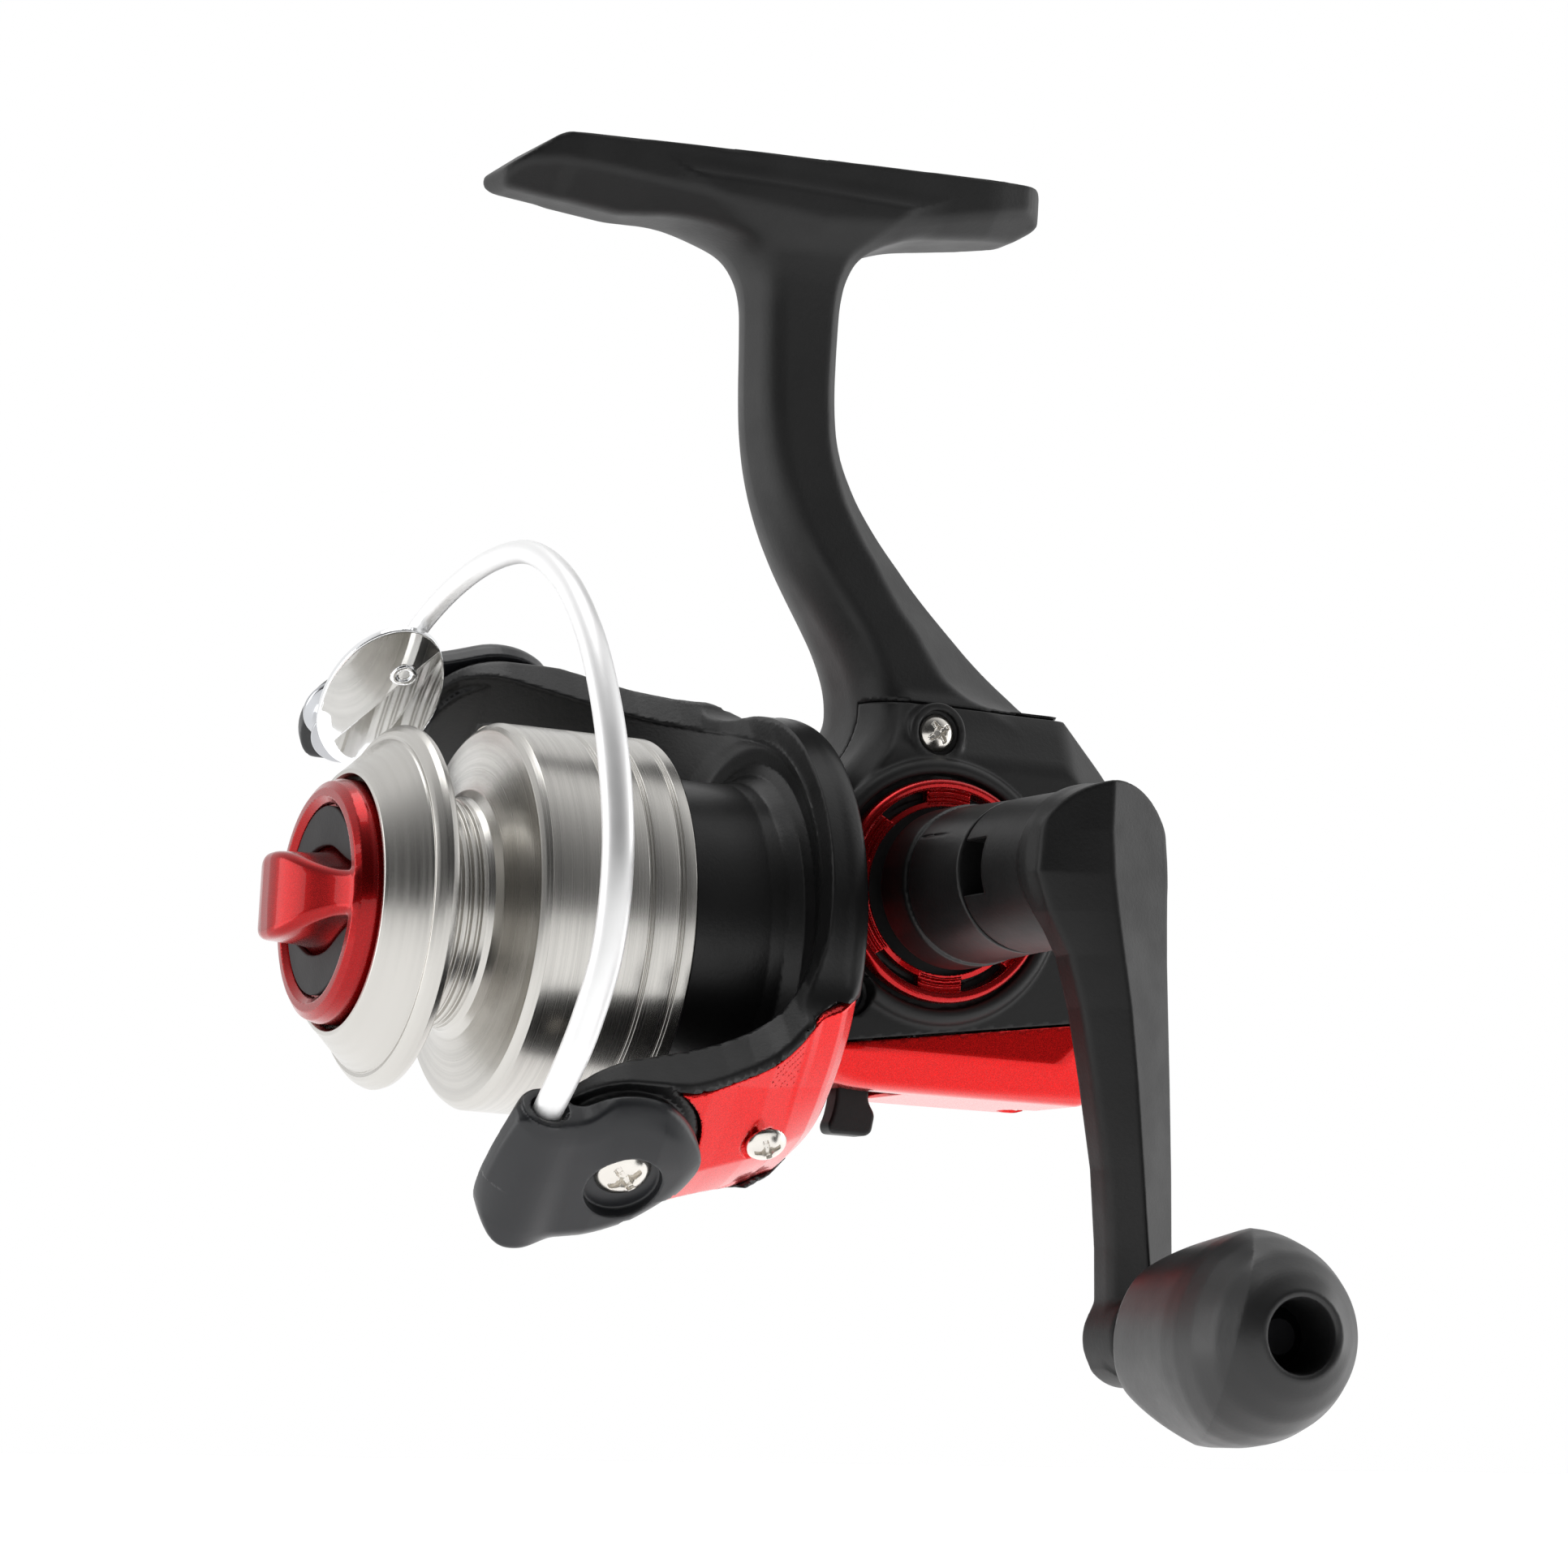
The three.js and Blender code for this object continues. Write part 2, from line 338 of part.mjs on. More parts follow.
mesh("pinion_bearing", lathe([[2.9, -12.6], [4.7, -12.6], [4.85, -12.4], [4.85, -10.8], [4.7, -10.6], [2.9, -10.6]], 16), "steel");
{
  // ratchet wheel for the anti-reverse, on the pinion behind the rotor
  const pts = [];
  for (let i = 0; i < 12; i++) for (const [r, f] of [[5.3, 0], [6.8, 0.12], [6.8, 0.34]]) pts.push([r * Math.cos(((i + f) * Math.PI) / 6), r * Math.sin(((i + f) * Math.PI) / 6)]);
  mesh("anti_reverse_ratchet", prism(pts, -14.4, -13.2, V(0, 0, 0), Z, X, [circle(0, 0, 2.7, 12).reverse()]), "steel");
}
mesh("anti_reverse_pawl", sub(
  prism([[-8.3, -6.6], [-7.6, -5.4], [-5.9, -5.2], [-1.7, -7.9], [-1.9, -8.9], [-6.2, -8.9], [-7.9, -8.4]].map(([x, z]) => [z, x]), -14.3, -13.3, V(0, 0, 0), Z, X), rod(1.0, -16, -12, 10, V(-6.8, 0, -7.2), Y)), "steel");
{
  let l = add(rod(1.2, -12.9, -1.4, 10, V(0, 0, -7.8), Y), prism([[-5.3, -7.8], [-1.6, -7.8], [-1.6, -14.8], [-0.8, -16.0], [-1.4, -18.0], [-5.8, -18.0], [-5.6, -16.4]], -1.3, 1.3, V(0, 0, 0), Y, Z));
  mesh("anti_reverse_lever", l, "black");
}
mesh("main_shaft", add(lathe([[0, -57.9], [0.9, -57.9], [1.0, -57.7], [1.0, -54.9], [SHAFT_R, -54.7], [SHAFT_R, 14.9], [0, 14.9]], 10)), "steel");

// ---------- rotor ----------
const ARM_OUT = [[23.2, -14.6], [26.6, -20], [28.3, -24], [29.3, -28], [29.55, -31], [29.55, -44.4]];
const armOutline = (w) => [[-13.5, 12 + w], [-15.5, 11.5 + w], [-18, 9.6 + w], [-22, 8.4 + w], [-30, 7.9 + w], ...Array.from({ length: 9 }, (_, i) => { const a = (90 + 22.5 * i) * D2R; return [PIVOT_Y + (7.9 + w) * Math.cos(a), (7.9 + w) * Math.sin(a)]; }), [-30, -7.9 - w], [-22, -8.4 - w], [-18, -9.6 - w], [-15.5, -11.5 - w], [-13.5, -12 - w]];
const armSlab = (w) => prism(armOutline(w), -40, 40, V(0, 0, 0), Y, TT);
{
  const base = lathe([[2.6, -15], [19.4, -15], [20.6, -12.9], [21.6, -12.9], [22.4, -14.0], [20.2, -16.5], [19.2, -17.2], [16.6, -17.5], [DRUM_R, -18.8],
    [DRUM_R, DRUM_FRONT], [13.7, DRUM_FRONT], [13.7, -17.6], [5.2, -17.6], [5.2, -21.2], [2.6, -21.2]], 28, V(0, 0, 0), Y, ph);
  const arms = cut(lathe([[20.0, -14.4], ...ARM_OUT, [27.6, -44.4], [27.6, -30.5], [26.2, -27], [24.2, -23.3], [22, -19.8], [18.6, -16.4]], 40, V(0, 0, 0), Y, ph), armSlab(0));
  const pads = [1, -1].map((s) => rod(6.7, 27.3, 30.9, 16, V(0, PIVOT_Y, 0), N.clone().multiplyScalar(s)));
  const pocket = prism([[-31.2, -1.3], [-31.2, 1.3], [-24.0, 1.3], [-24.0, -1.3]], 25.4, 32, V(0, 0, 0), Y, TT);
  const coverHole = (s) => rod(0.9, 20, 32, 8, V(0, -20.4, 0), N.clone().multiplyScalar(s));
  let r = add(base, arms, ...pads);
  r = sub(r, rod(1.75, -40, 40, 10, V(0, PIVOT_Y, 0), N).subtract(rod(20, -20, 20, 12, V(0, PIVOT_Y, 0), N)), pocket, coverHole(1), coverHole(-1));
  mesh("rotor", r, "black");
  // red covers on the outer face of both arms
  const shellOut = (k) => ARM_OUT.map(([a, b]) => [a + k, b - k * 0.25]);
  const band = lathe([...shellOut(0.3), ...shellOut(1.5).reverse()], 40, V(0, 0, 0), Y, ph);
  const clip = prism([[-13.6, 8.9], [-18, 8.6], [-22, 8.2], [-34, 7.7], [-34, -7.7], [-22, -8.2], [-18, -8.6], [-13.6, -8.9]], 5, 40, V(0, 0, 0), Y, TT);
  const clipFar = prism([[-13.6, 8.9], [-18, 8.6], [-22, 8.2], [-34, 7.7], [-34, -7.7], [-22, -8.2], [-18, -8.6], [-13.6, -8.9]], -40, -5, V(0, 0, 0), Y, TT);
  for (const [name, c, s] of [["rotor_arm_cover_near", clip, 1], ["rotor_arm_cover_far", clipFar, -1]]) {
    const ax = N.clone().multiplyScalar(s);
    mesh(name, sub(cut(band, c), rod(8.3, 20, 40, 28, V(0, PIVOT_Y, 0), ax), rod(1.1, 20, 40, 10, V(0, -20.4, 0), ax), rod(2.4, 28.0, 40, 14, V(0, -20.4, 0), ax)), "red");
    screw(s > 0 ? "arm_cover_screw_near" : "arm_cover_screw_far", V(0, -20.4, 0).addScaledVector(ax, 28.15), ax, 2.1, 1.1, 0.7, 2.6);
  }
}
mesh("rotor_nut", sub(prism(circle(0, 0, 4.3, 6), -24.0, -21.6, V(0, 0, 0), Z, X), rod(2.6, -30, -10, 14, V(0, 0, 0), Y)), "steel");
{
  const pts = [], turns = 4, per = 7;
  for (let i = 0; i <= turns * per; i++) { const a = (2 * Math.PI * i) / per; pts.push(at(27.25 + 0.62 * Math.cos(a), 0.62 * Math.sin(a), -30.6 + (5.6 * i) / (turns * per))); }
  mesh("bail_spring", wire(pts, 0.26, 4), "steel");
}

// ---------- bail ----------
{
  // near holder: disc over the pivot, swept forward to the wire socket
  const out = [[-28.6, 0], [-28.9, -2.4], [-30.4, -5.0], [-33.2, -7.4], [-37.5, -10.0], [-41.4, -11.2], [-44.6, -10.8], [-47.2, -9.0], [-48.6, -6.4], [-48.8, -3], [-48.4, 1.4], [-47.6, 5.2], [-42.6, 5.2], [-41.4, 5.4], [-38.6, 7.2], [-35.4, 7.6], [-31.8, 6.2], [-29.4, 3.2]];
  const o2 = out.map(([y, t]) => { const dy = y + 39, dt = t + 1.4, k = 1.5 / Math.hypot(dy, dt); return [y - dy * k, t - dt * k]; });
  const ring = (pts, rho, f = 0) => pts.map(([y, t]) => at(rho + f * (y - PIVOT_Y), t, y));
  let h = loft([ring(out, 31.25), ring(out, 33.4, 0.03), ring(o2, 34.9, 0.05)]);
  const boss = loft([[-9.6, 2.2], [-8.6, 3.4], [2.0, 2.9], [5.6, 2.65]].map(([t, r]) => Array.from({ length: 12 }, (_, i) => { const a = (2 * Math.PI * (i + 0.5)) / 12; return at(31.6 + r * Math.cos(a), t, -45.2 + r * Math.sin(a)); })));
  h = add(h, sub(boss, prism([[-60, -20], [-30, -20], [-30, 1.6], [-60, 1.6]], 20, 31.3, V(0, 0, 0), Y, TT), rod(8.4, 20, 31.3, 20, V(0, PIVOT_Y, 0), N)));
  const hole = wire([at(31.6, 0, -45.2), at(31.6, 7, -45.2)], WIRE_R + 0.22, 12);
  h = sub(h, hole, rod(1.9, 30, 40, 12, V(0, PIVOT_Y, 0), N), rod(3.1, 33.2, 40, 20, V(0, PIVOT_Y, 0), N));
  mesh("bail_holder_near", h, "charcoal");
  screw("bail_screw_near", V(0, PIVOT_Y, 0).addScaledVector(N, 33.45), N, 2.8, 1.7, 1.45, 6.3);

  const ctrl = [[31.6, 0.6, -45.2], [31.6, 5, -45.2], [30.9, 10, -44.7], [29.2, 14.5, -44.0], [25.9, 20.6, -43.3], [20.2, 26.9, -43.2], [12.6, 31.0, -43.2], [4.5, 33.3, -43.2], [-3.5, 34.0, -43.2], [-12, 32.9, -43.4], [-19.6, 29.4, -43.9], [-24.8, 23.8, -44.8], [-27.2, 18.2, -46.2], [-27.9, 13.0, -47.6], [-28.0, 9.6, -48.2]];
  const curve = new THREE.CatmullRomCurve3(ctrl.map(([a, b, c]) => at(a, b, c)), false, "centripetal");
  const n = 26, pts = Array.from({ length: n + 1 }, (_, i) => curve.getPointAt(i / n));
  const rad = pts.map((_, i) => { const u = i / n; return u < 0.84 ? WIRE_R : u < 0.93 ? WIRE_R - (0.6 * (u - 0.84)) / 0.09 : 0.95; });
  mesh("bail_wire", wire(pts, rad, 8), "wire");

  // egg-shaped plate inside the line roller
  const plate = Array.from({ length: 22 }, (_, i) => { const a = (2 * Math.PI * i) / 22, c = Math.cos(a), s = Math.sin(a), u = 9.0 * c, v = 5.7 * s * (1 + 0.10 * c), r = -0.10; return [-50.0 + v * Math.cos(r) - u * Math.sin(r), 4.3 + v * Math.sin(r) + u * Math.cos(r)]; });
  let p = prism(plate, -26.7, -25.5, V(0, 0, 0), Y, TT, [], 0.35);
  p = sub(add(p, rod(1.35, -25.6, -25.0, 12, V(0, -48.2, 0).addScaledVector(TT, 8.0), N)), rod(0.85, -25.35, -24, 10, V(0, -48.2, 0).addScaledVector(TT, 8.0), N), rod(1.15, -30, -25.9, 12, V(0, -50.8, 0).addScaledVector(TT, -1.6), N));
  mesh("roller_plate", p, "chrome");
  const ro = V(0, -50.8, 0).addScaledVector(TT, -1.6);
  mesh("line_roller", lathe([[1.15, -30.9], [4.1, -30.9], [4.1, -30.4], [3.3, -29.5], [3.2, -28.6], [3.9, -27.4], [3.9, -27.0], [1.15, -27.0]], 14, ro, N), "chrome");
  mesh("roller_pin", add(rod(0.9, -33.6, -26.2, 10, ro, N)), "steel");
  // far arm: disc over the far pivot, reaching forward to the cap outside the roller
  const far = [[-29.2, 0], [-29.6, -2.6], [-31.2, -5.4], [-34.4, -7.4], [-39, -7.8], [-44.6, -7.2], [-48.2, -6.2], [-51, -6.6], [-54.2, -5.4], [-55.9, -2.6], [-55.8, 0.6], [-53.8, 2.9], [-50.6, 3.6], [-46.4, 4.2], [-41.6, 5.4], [-37.4, 7.2], [-34, 7.0], [-31, 5.4], [-29.6, 2.8]];
  const f2 = far.map(([y, t]) => { const dy = y + 42, dt = t + 0.8, k = 1.5 / Math.hypot(dy, dt); return [y - dy * k, t - dt * k]; });
  let fa = loft([ring(far, -31.25), ring(far, -33.4), ring(f2, -34.9)]);
  fa = sub(fa, rod(1.9, -40, -30, 12, V(0, PIVOT_Y, 0), N), rod(3.1, -40, -33.2, 20, V(0, PIVOT_Y, 0), N), rod(1.15, -34, -30, 12, ro, N));
  mesh("bail_arm_far", fa, "charcoal");
  screw("bail_screw_far", V(0, PIVOT_Y, 0).addScaledVector(N, -33.45), N.clone().negate(), 2.8, 1.7, 1.45, 6.3);
}

// ---------- spool and drag ----------
mesh("spool", lathe([
  [12.1, -54.6], [12.1, -57.5], [12.6, -58.0], [13.0, -57.6], [16.1, -54.3], [16.9, -53.6], [LIP_R, LIP_Y], [17.0, -51.95], [12.2, -50.9], [ARBOR_R, -50.0],
  [ARBOR_R, -46.7], [11.6, -45.9], [12.8, -45.3], [15.4, -44.7], [18.1, -44.2],
  [SKIRT_R, SKIRT_FRONT], [SKIRT_R, SKIRT_REAR], [17.6, SKIRT_REAR], [17.6, -42.2], [10.0, -42.8], [10.0, -48.3], [4.6, -48.3],
  [4.6, -38.8], [1.65, -38.8], [1.65, -50.2], [6.7, -50.2], [6.7, -54.6],
], 28), "alu");
mesh("click_gear", sub(prism(Array.from({ length: 32 }, (_, i) => { const r = i % 2 ? 3.9 : 4.5, a = (Math.PI * i) / 16; return [r * Math.cos(a), r * Math.sin(a)]; }), -38.4, -37.3, V(0, 0, 0), Z, X), rod(1.6, -40, -36, 12, V(0, 0, 0), Y)), "white");
mesh("clicker", prism([[5.2, -1.0], [9.4, -1.4], [9.4, 1.4], [5.2, 1.0], [4.95, 0]], -42.3, -37.6, V(0, 0, 0), X, V(0, 0, -1)), "steel");
const washer = (name, r0, r1, y0, y1, mat, n = 14) => mesh(name, tube(r0, r1, y0, y1, n), mat);
washer("drag_washer_felt_a", 1.7, 6.3, -51.25, -50.5, "felt");
washer("drag_washer_steel_a", 1.5, 6.1, -52.0, -51.5, "steel");
washer("drag_washer_felt_b", 1.7, 6.3, -53.0, -52.25, "felt");
washer("drag_washer_steel_b", 1.5, 6.1, -53.75, -53.25, "steel");
{
  // open spring clip that holds the stack
  const a0 = 0.35, pts = [];
  for (let i = 0; i <= 16; i++) { const a = a0 + ((2 * Math.PI - 2 * a0) * i) / 16; pts.push(V(6.25 * Math.cos(a), -54.2, 6.25 * Math.sin(a))); }
  mesh("drag_clip", wire(pts, 0.2, 4), "steel");
}
washer("drag_thrust_washer", 1.5, 3.6, -54.75, -54.3, "brass", 12);
mesh("drag_nut", sub(prism(circle(0, 0, 3.4, 6), -57.3, -55.4, V(0, 0, 0), Z, X), rod(1.2, -60, -50, 10, V(0, 0, 0), Y)), "brass");
{
  const seg = 24;
  let k = lathe([[0, -59.0], [9.3, -59.0], [9.3, -59.7], [9.8, -60.1], [10.6, -60.15], [11.3, -59.7], [11.7, -58.9], [11.7, -55.4], [10.4, -55.4], [10.4, -57.8], [4.6, -57.8], [4.6, -55.8], [3.9, -55.8], [3.9, -57.6], [1.6, -57.6], [1.6, -58.7], [0, -58.7]], seg);
  // finger bar across the face: thick in the middle, running down to the rim at both ends
  const secs = [[-11.0, 0.9, 0.9], [-9.2, 1.5, 1.7], [-7.0, 2.3, 3.2], [-4.6, 3.5, 4.9], [-2.6, 4.3, 5.9], [0, 4.5, 6.15], [2.6, 4.3, 5.9], [4.6, 3.5, 4.9], [7.0, 2.3, 3.2], [9.2, 1.5, 1.7], [11.0, 0.9, 0.9]];
  const wing = loft(secs.map(([x, w, h]) => [V(x, -58.9, -w), V(x, -58.9 - h * 0.8, -w), V(x, -58.9 - h, -w * 0.75), V(x, -58.9 - h, w * 0.75), V(x, -58.9 - h * 0.8, w), V(x, -58.9, w)]));
  mesh("drag_knob", add(k, cut(wing, rod(11.0, -70, -50, 24, V(0, 0, 0), Y))), "red");
  // two dark D-shaped inlays either side of the bar
  for (const [name, s] of [["drag_inlay_upper", 1], ["drag_inlay_lower", -1]]) {
    const pts = [];
    for (let i = 0; i <= 12; i++) { const a = (14 + (152 * i) / 12) * D2R; pts.push([9.0 * Math.cos(a), 9.0 * Math.sin(a)]); }
    for (const [x, w] of [[-8.4, 2.15], [-7.0, 2.65], [-4.6, 3.85], [-2.6, 4.65], [0, 4.85], [2.6, 4.65], [4.6, 3.85], [7.0, 2.65], [8.4, 2.15]]) pts.push([x, w]);
    mesh(name, prism(pts.map(([x, z]) => [x, s * z]), 59.15, 59.7, V(0, 0, 0), X, Z), "rubber");
  }
}

// ---------- handle ----------
mesh("handle_shaft", add(rod(1.25, -10.4, 24, 6, V(0, 0, HZ), X)), "steel");
mesh("handle_cap", sub(lathe([[0, -14.6], [3.6, -14.6], [4.6, -13.8], [4.8, -11.5], [0, -11.5]], 20, V(0, 0, HZ), X), prism([[-4, -0.5], [4, -0.5], [4, 0.5], [-4, 0.5]], -16, -13.6, V(0, 0, HZ), Y, Z), rod(1.5, -12.6, -10, 6, V(0, 0, HZ), X)), "steel");
{
  const ear = (z0, z1, r) => rod(r, z0, z1, 16, V(FOLD.x, FOLD.y, HZ), Z);
  let c = lathe([[0, 14.0], [7.4, 14.0], [7.8, 14.5], [7.8, 19.7], [7.6, 19.9], [7.35, 30.2], [0, 30.2]], 24, V(0, 0, HZ), X);
  c = sub(c, box(27.6, 34, 3.9, 12, -10, 20), rod(1.5, 10, 24.4, 6, V(0, 0, HZ), X));
  c = add(c, sub(add(ear(-1.7, 1.7, 1.6), box(27.0, 30.5, 3.6, 6.4, HZ - 1.7, HZ + 1.7)), ear(-5, 5, 1.05)));
  mesh("handle_collar", c, "black");
  mesh("fold_pin", ear(-4.6, 4.6, 0.85), "steel");

  // crank: hub, round head and a leaning, ridged arm
  const SEC = [ // z, y centre-left, y right, ridge y
    [-36.0, 2.5, 9.3, 5.2], [-29.7, 2.1, 9.15, 4.3], [-22.5, 1.3, 8.75, 3.4], [-14.6, -0.3, 8.2, 2.4], [-8, -1.8, 7.7, 1.4], [-3.3, -3.1, 7.35, 0.4], [0.6, -5.6, 7.1, -0.4], [4, -6.9, 7.0, -1.2], [8, -6.5, 6.5, -1.8], [10.6, -4.8, 4.9, -1.8], [12.3, -2.2, 2.4, -1.2], [12.8, -0.6, 0.8, 0],
  ];
  const arm = loft(SEC.map(([z, l, r, m]) => [V(43.2, l, z), V(43.2, r, z), V(45.6, r, z), V(49.9 - (z > 9 ? (z - 9) * 0.35 : 0), m, z), V(46.4, l, z)]));
  let k = add(arm, lathe([[0, 30.65], [7.35, 30.65], [7.2, 40], [7.0, 44.5], [0, 44.5]], 24, V(0, 0, HZ), X),
    lathe([[0, 42.6], [3.9, 42.6], [4.3, 43.0], [4.3, 48.8], [3.9, 49.2], [0, 49.2]], 20, V(0, CRANK.knobY, CRANK.knobZ), X));
  k = sub(k, box(28, 33.4, 3.9, 12, -10, 20), box(30.3, 35.0, -8, -1.5, HZ - 2.6, HZ + 2.6), rod(1.6, 48.0, 52, 12, V(0, CRANK.knobY, CRANK.knobZ), X));
  for (const s of [1, -1]) {
    const z0 = s > 0 ? 2.0 : -4.4, z1 = s > 0 ? 4.4 : -2.0;
    k = add(k, sub(add(ear(z0, z1, 1.6), box(30.7, 34.0, 3.6, 6.4, HZ + z0, HZ + z1)), ear(-6, 6, 1.05)));
  }
  k = sub(k, ear(-2.0, 2.0, 1.95));
  mesh("handle_crank", k, "black");
}
const KO = V(0, CRANK.knobY, CRANK.knobZ);
mesh("handle_knob", lathe([[1.7, 50.3], [4.7, 50.3], [5.3, 51.0], [6.8, 54], [8.45, 58], [9.5, 61.8], [9.75, 64], [9.45, 67.4], [8.3, 71.2], [5.6, 75.1], [3.7, 76.4], [3.2, 76.2], [3.2, 70.2], [1.7, 70.2]], 22, KO, X), "rubber");
mesh("knob_rivet", add(rod(1.35, 48.2, 70.6, 12, KO, X), lathe([[0, 70.5], [2.7, 70.5], [2.7, 71.3], [1.6, 72.0], [0, 72.0]], 16, KO, X)), "steel");

// ---------- part frame ----------
mech.position.set(0, -SEAT.y, -SEAT.z);
const turn = new THREE.Group();
turn.rotation.x = -SEAT_TILT * D2R;
turn.add(mech);
root.add(turn);
export default root;
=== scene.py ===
import json
import math
import bpy
import numpy as np
from mathutils import Matrix, Vector


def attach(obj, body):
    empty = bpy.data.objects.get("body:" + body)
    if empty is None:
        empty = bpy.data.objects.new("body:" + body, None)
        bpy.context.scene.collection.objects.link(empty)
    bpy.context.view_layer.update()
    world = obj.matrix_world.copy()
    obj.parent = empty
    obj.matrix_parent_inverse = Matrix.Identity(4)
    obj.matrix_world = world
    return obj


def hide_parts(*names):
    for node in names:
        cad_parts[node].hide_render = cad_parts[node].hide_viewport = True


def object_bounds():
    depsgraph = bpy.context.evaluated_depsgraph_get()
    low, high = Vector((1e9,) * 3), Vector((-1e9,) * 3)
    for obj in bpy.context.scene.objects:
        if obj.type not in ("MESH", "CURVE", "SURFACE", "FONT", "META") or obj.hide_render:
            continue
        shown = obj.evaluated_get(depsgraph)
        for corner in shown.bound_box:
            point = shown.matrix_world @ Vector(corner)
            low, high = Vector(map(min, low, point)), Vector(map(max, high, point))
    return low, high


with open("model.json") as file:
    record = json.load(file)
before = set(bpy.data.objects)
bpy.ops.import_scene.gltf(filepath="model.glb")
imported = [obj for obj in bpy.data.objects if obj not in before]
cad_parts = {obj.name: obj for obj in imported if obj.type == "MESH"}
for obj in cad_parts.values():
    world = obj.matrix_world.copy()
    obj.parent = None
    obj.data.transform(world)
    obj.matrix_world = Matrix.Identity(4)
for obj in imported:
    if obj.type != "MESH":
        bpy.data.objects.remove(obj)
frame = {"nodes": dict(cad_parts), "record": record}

CAD_LO, CAD_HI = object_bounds()
COARSE = 1.0
D2R = math.pi / 180
TILT = 2.38 * D2R
CT, ST = math.cos(TILT), math.sin(TILT)
TURN = np.array([[1, 0, 0], [0, CT, ST], [0, -ST, CT]])
SEAT = np.array([0, -15.45, 77.6])
HZ = 5.6
PIVOT = -36.3
PH = 42 * D2R
N = np.array([math.sin(PH), 0, -math.cos(PH)])
T = np.array([math.cos(PH), 0, math.sin(PH)])
X, Y, Z = np.eye(3)


def row(v):
    return ((np.asarray(v, float) - SEAT) @ TURN.T) * 0.001


def vrow(v):
    return np.asarray(v, float) @ TURN.T


def at(rho, t, y):
    return rho * N + t * T + np.array([0, y, 0])


# ------------------------------------------------------------------ meshes
def put(name, verts, faces, mat, body, reps=(), normals=None, angle=32, smooth=True, slot=None, mw=None):
    """A mesh object. verts are in the row frame in metres, or local to the 4x4 mw."""
    verts = np.asarray(verts, float)
    if mw is None:
        verts = np.clip(verts, np.array(CAD_LO) + 3e-6, np.array(CAD_HI) - 3e-6)  # inside the box of the plain solids
    me = bpy.data.meshes.new(name)
    if isinstance(faces, np.ndarray):
        k = faces.shape[1]
        me.vertices.add(len(verts)); me.vertices.foreach_set("co", verts.astype(np.float32).ravel())
        me.loops.add(faces.size); me.loops.foreach_set("vertex_index", faces.astype(np.int32).ravel())
        me.polygons.add(len(faces))
        me.polygons.foreach_set("loop_start", np.arange(0, faces.size, k, dtype=np.int32))
        me.polygons.foreach_set("loop_total", np.full(len(faces), k, np.int32))
        me.update(calc_edges=True)
        me.validate()
    else:
        me.from_pydata(verts.tolist(), [], [list(map(int, f)) for f in faces])
        me.update()
    if smooth:
        me.polygons.foreach_set("use_smooth", np.ones(len(me.polygons), bool))
        if normals is not None:
            me.normals_split_custom_set_from_vertices(np.asarray(normals, float).tolist())
        else:
            me.set_sharp_from_angle(angle=angle * D2R)
    me.materials.append(mat)
    o = bpy.data.objects.new(name, me)
    bpy.context.scene.collection.objects.link(o)
    if mw is not None:
        o.matrix_world = mw
    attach(o, body)
    if reps:
        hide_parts(*reps)
    return o


def frame_of(o, d, u=None):
    """4x4 in the row frame in metres whose Z is direction d and origin is o, both given in mech."""
    z = vrow(d); z = z / np.linalg.norm(z)
    ref = vrow(u) if u is not None else (np.array([0, 0, 1.0]) if abs(z[2]) < 0.9 else np.array([0, 1.0, 0]))
    x = ref - z * (ref @ z); x = x / np.linalg.norm(x)
    y = np.cross(z, x)
    m = np.eye(4); m[:3, 0], m[:3, 1], m[:3, 2], m[:3, 3] = x, y, z, row(o)
    return Matrix(m.tolist())


def soften(profile, r=0.18, closed=False):
    """Rounds the corners of a [radius, axial] profile with short arcs."""
    p = [np.array(q, float) for q in profile]
    out, n = [], len(p)
    for i in range(n):
        if not closed and i in (0, n - 1):
            out.append(p[i]); continue
        a, b, c = p[i - 1], p[i], p[(i + 1) % n]
        u, v = a - b, c - b
        lu, lv = np.linalg.norm(u), np.linalg.norm(v)
        if lu < 1e-6 or lv < 1e-6:
            continue
        cosang = (u @ v) / lu / lv
        if cosang < -0.985:
            out.append(b); continue
        k = min(r, lu * 0.45, lv * 0.45)
        s, e = b + u / lu * k, b + v / lv * k
        for w in (0, 0.25, 0.5, 0.75, 1):
            out.append((1 - w) ** 2 * s + 2 * w * (1 - w) * b + w * w * e)
    return out


def lathe(name, profile, o, d, mat, body, reps=(), seg=128, r=0.18, closed=True, slot=None, local=True, angle=38):
    """A turned body; profile is [radius, axial] in mm, closed on itself unless it starts and ends on the axis."""
    on_axis = profile[0][0] < 1e-6 and profile[-1][0] < 1e-6
    p = soften(profile, r, closed=not on_axis)
    m = len(p)
    ang = np.arange(seg) * 2 * math.pi / seg
    verts, faces, ring = [], [], []
    for q in p:
        if q[0] < 1e-6:
            ring.append([len(verts)]); verts.append((0, 0, q[1]))
        else:
            ring.append(list(range(len(verts), len(verts) + seg)))
            verts += [(q[0] * math.cos(a), q[0] * math.sin(a), q[1]) for a in ang]
    last = m - 1 if on_axis else m
    for i in range(last):
        a, b = ring[i], ring[(i + 1) % m]
        for j in range(seg):
            k = (j + 1) % seg
            if len(a) == 1 and len(b) == 1:
                continue
            if len(a) == 1:
                faces.append((a[0], b[j], b[k]))
            elif len(b) == 1:
                faces.append((a[j], b[0], a[k]))
            else:
                faces.append((a[j], b[j], b[k], a[k]))
    v = np.array(verts) * 0.001
    area = sum(p[i][0] * p[(i + 1) % m][1] - p[(i + 1) % m][0] * p[i][1] for i in range(m))
    if area > 0:
        faces = [f[::-1] for f in faces]
    mw = frame_of(o, d)
    return put(name, v, faces, mat, body, reps, slot=slot, mw=mw, angle=angle)


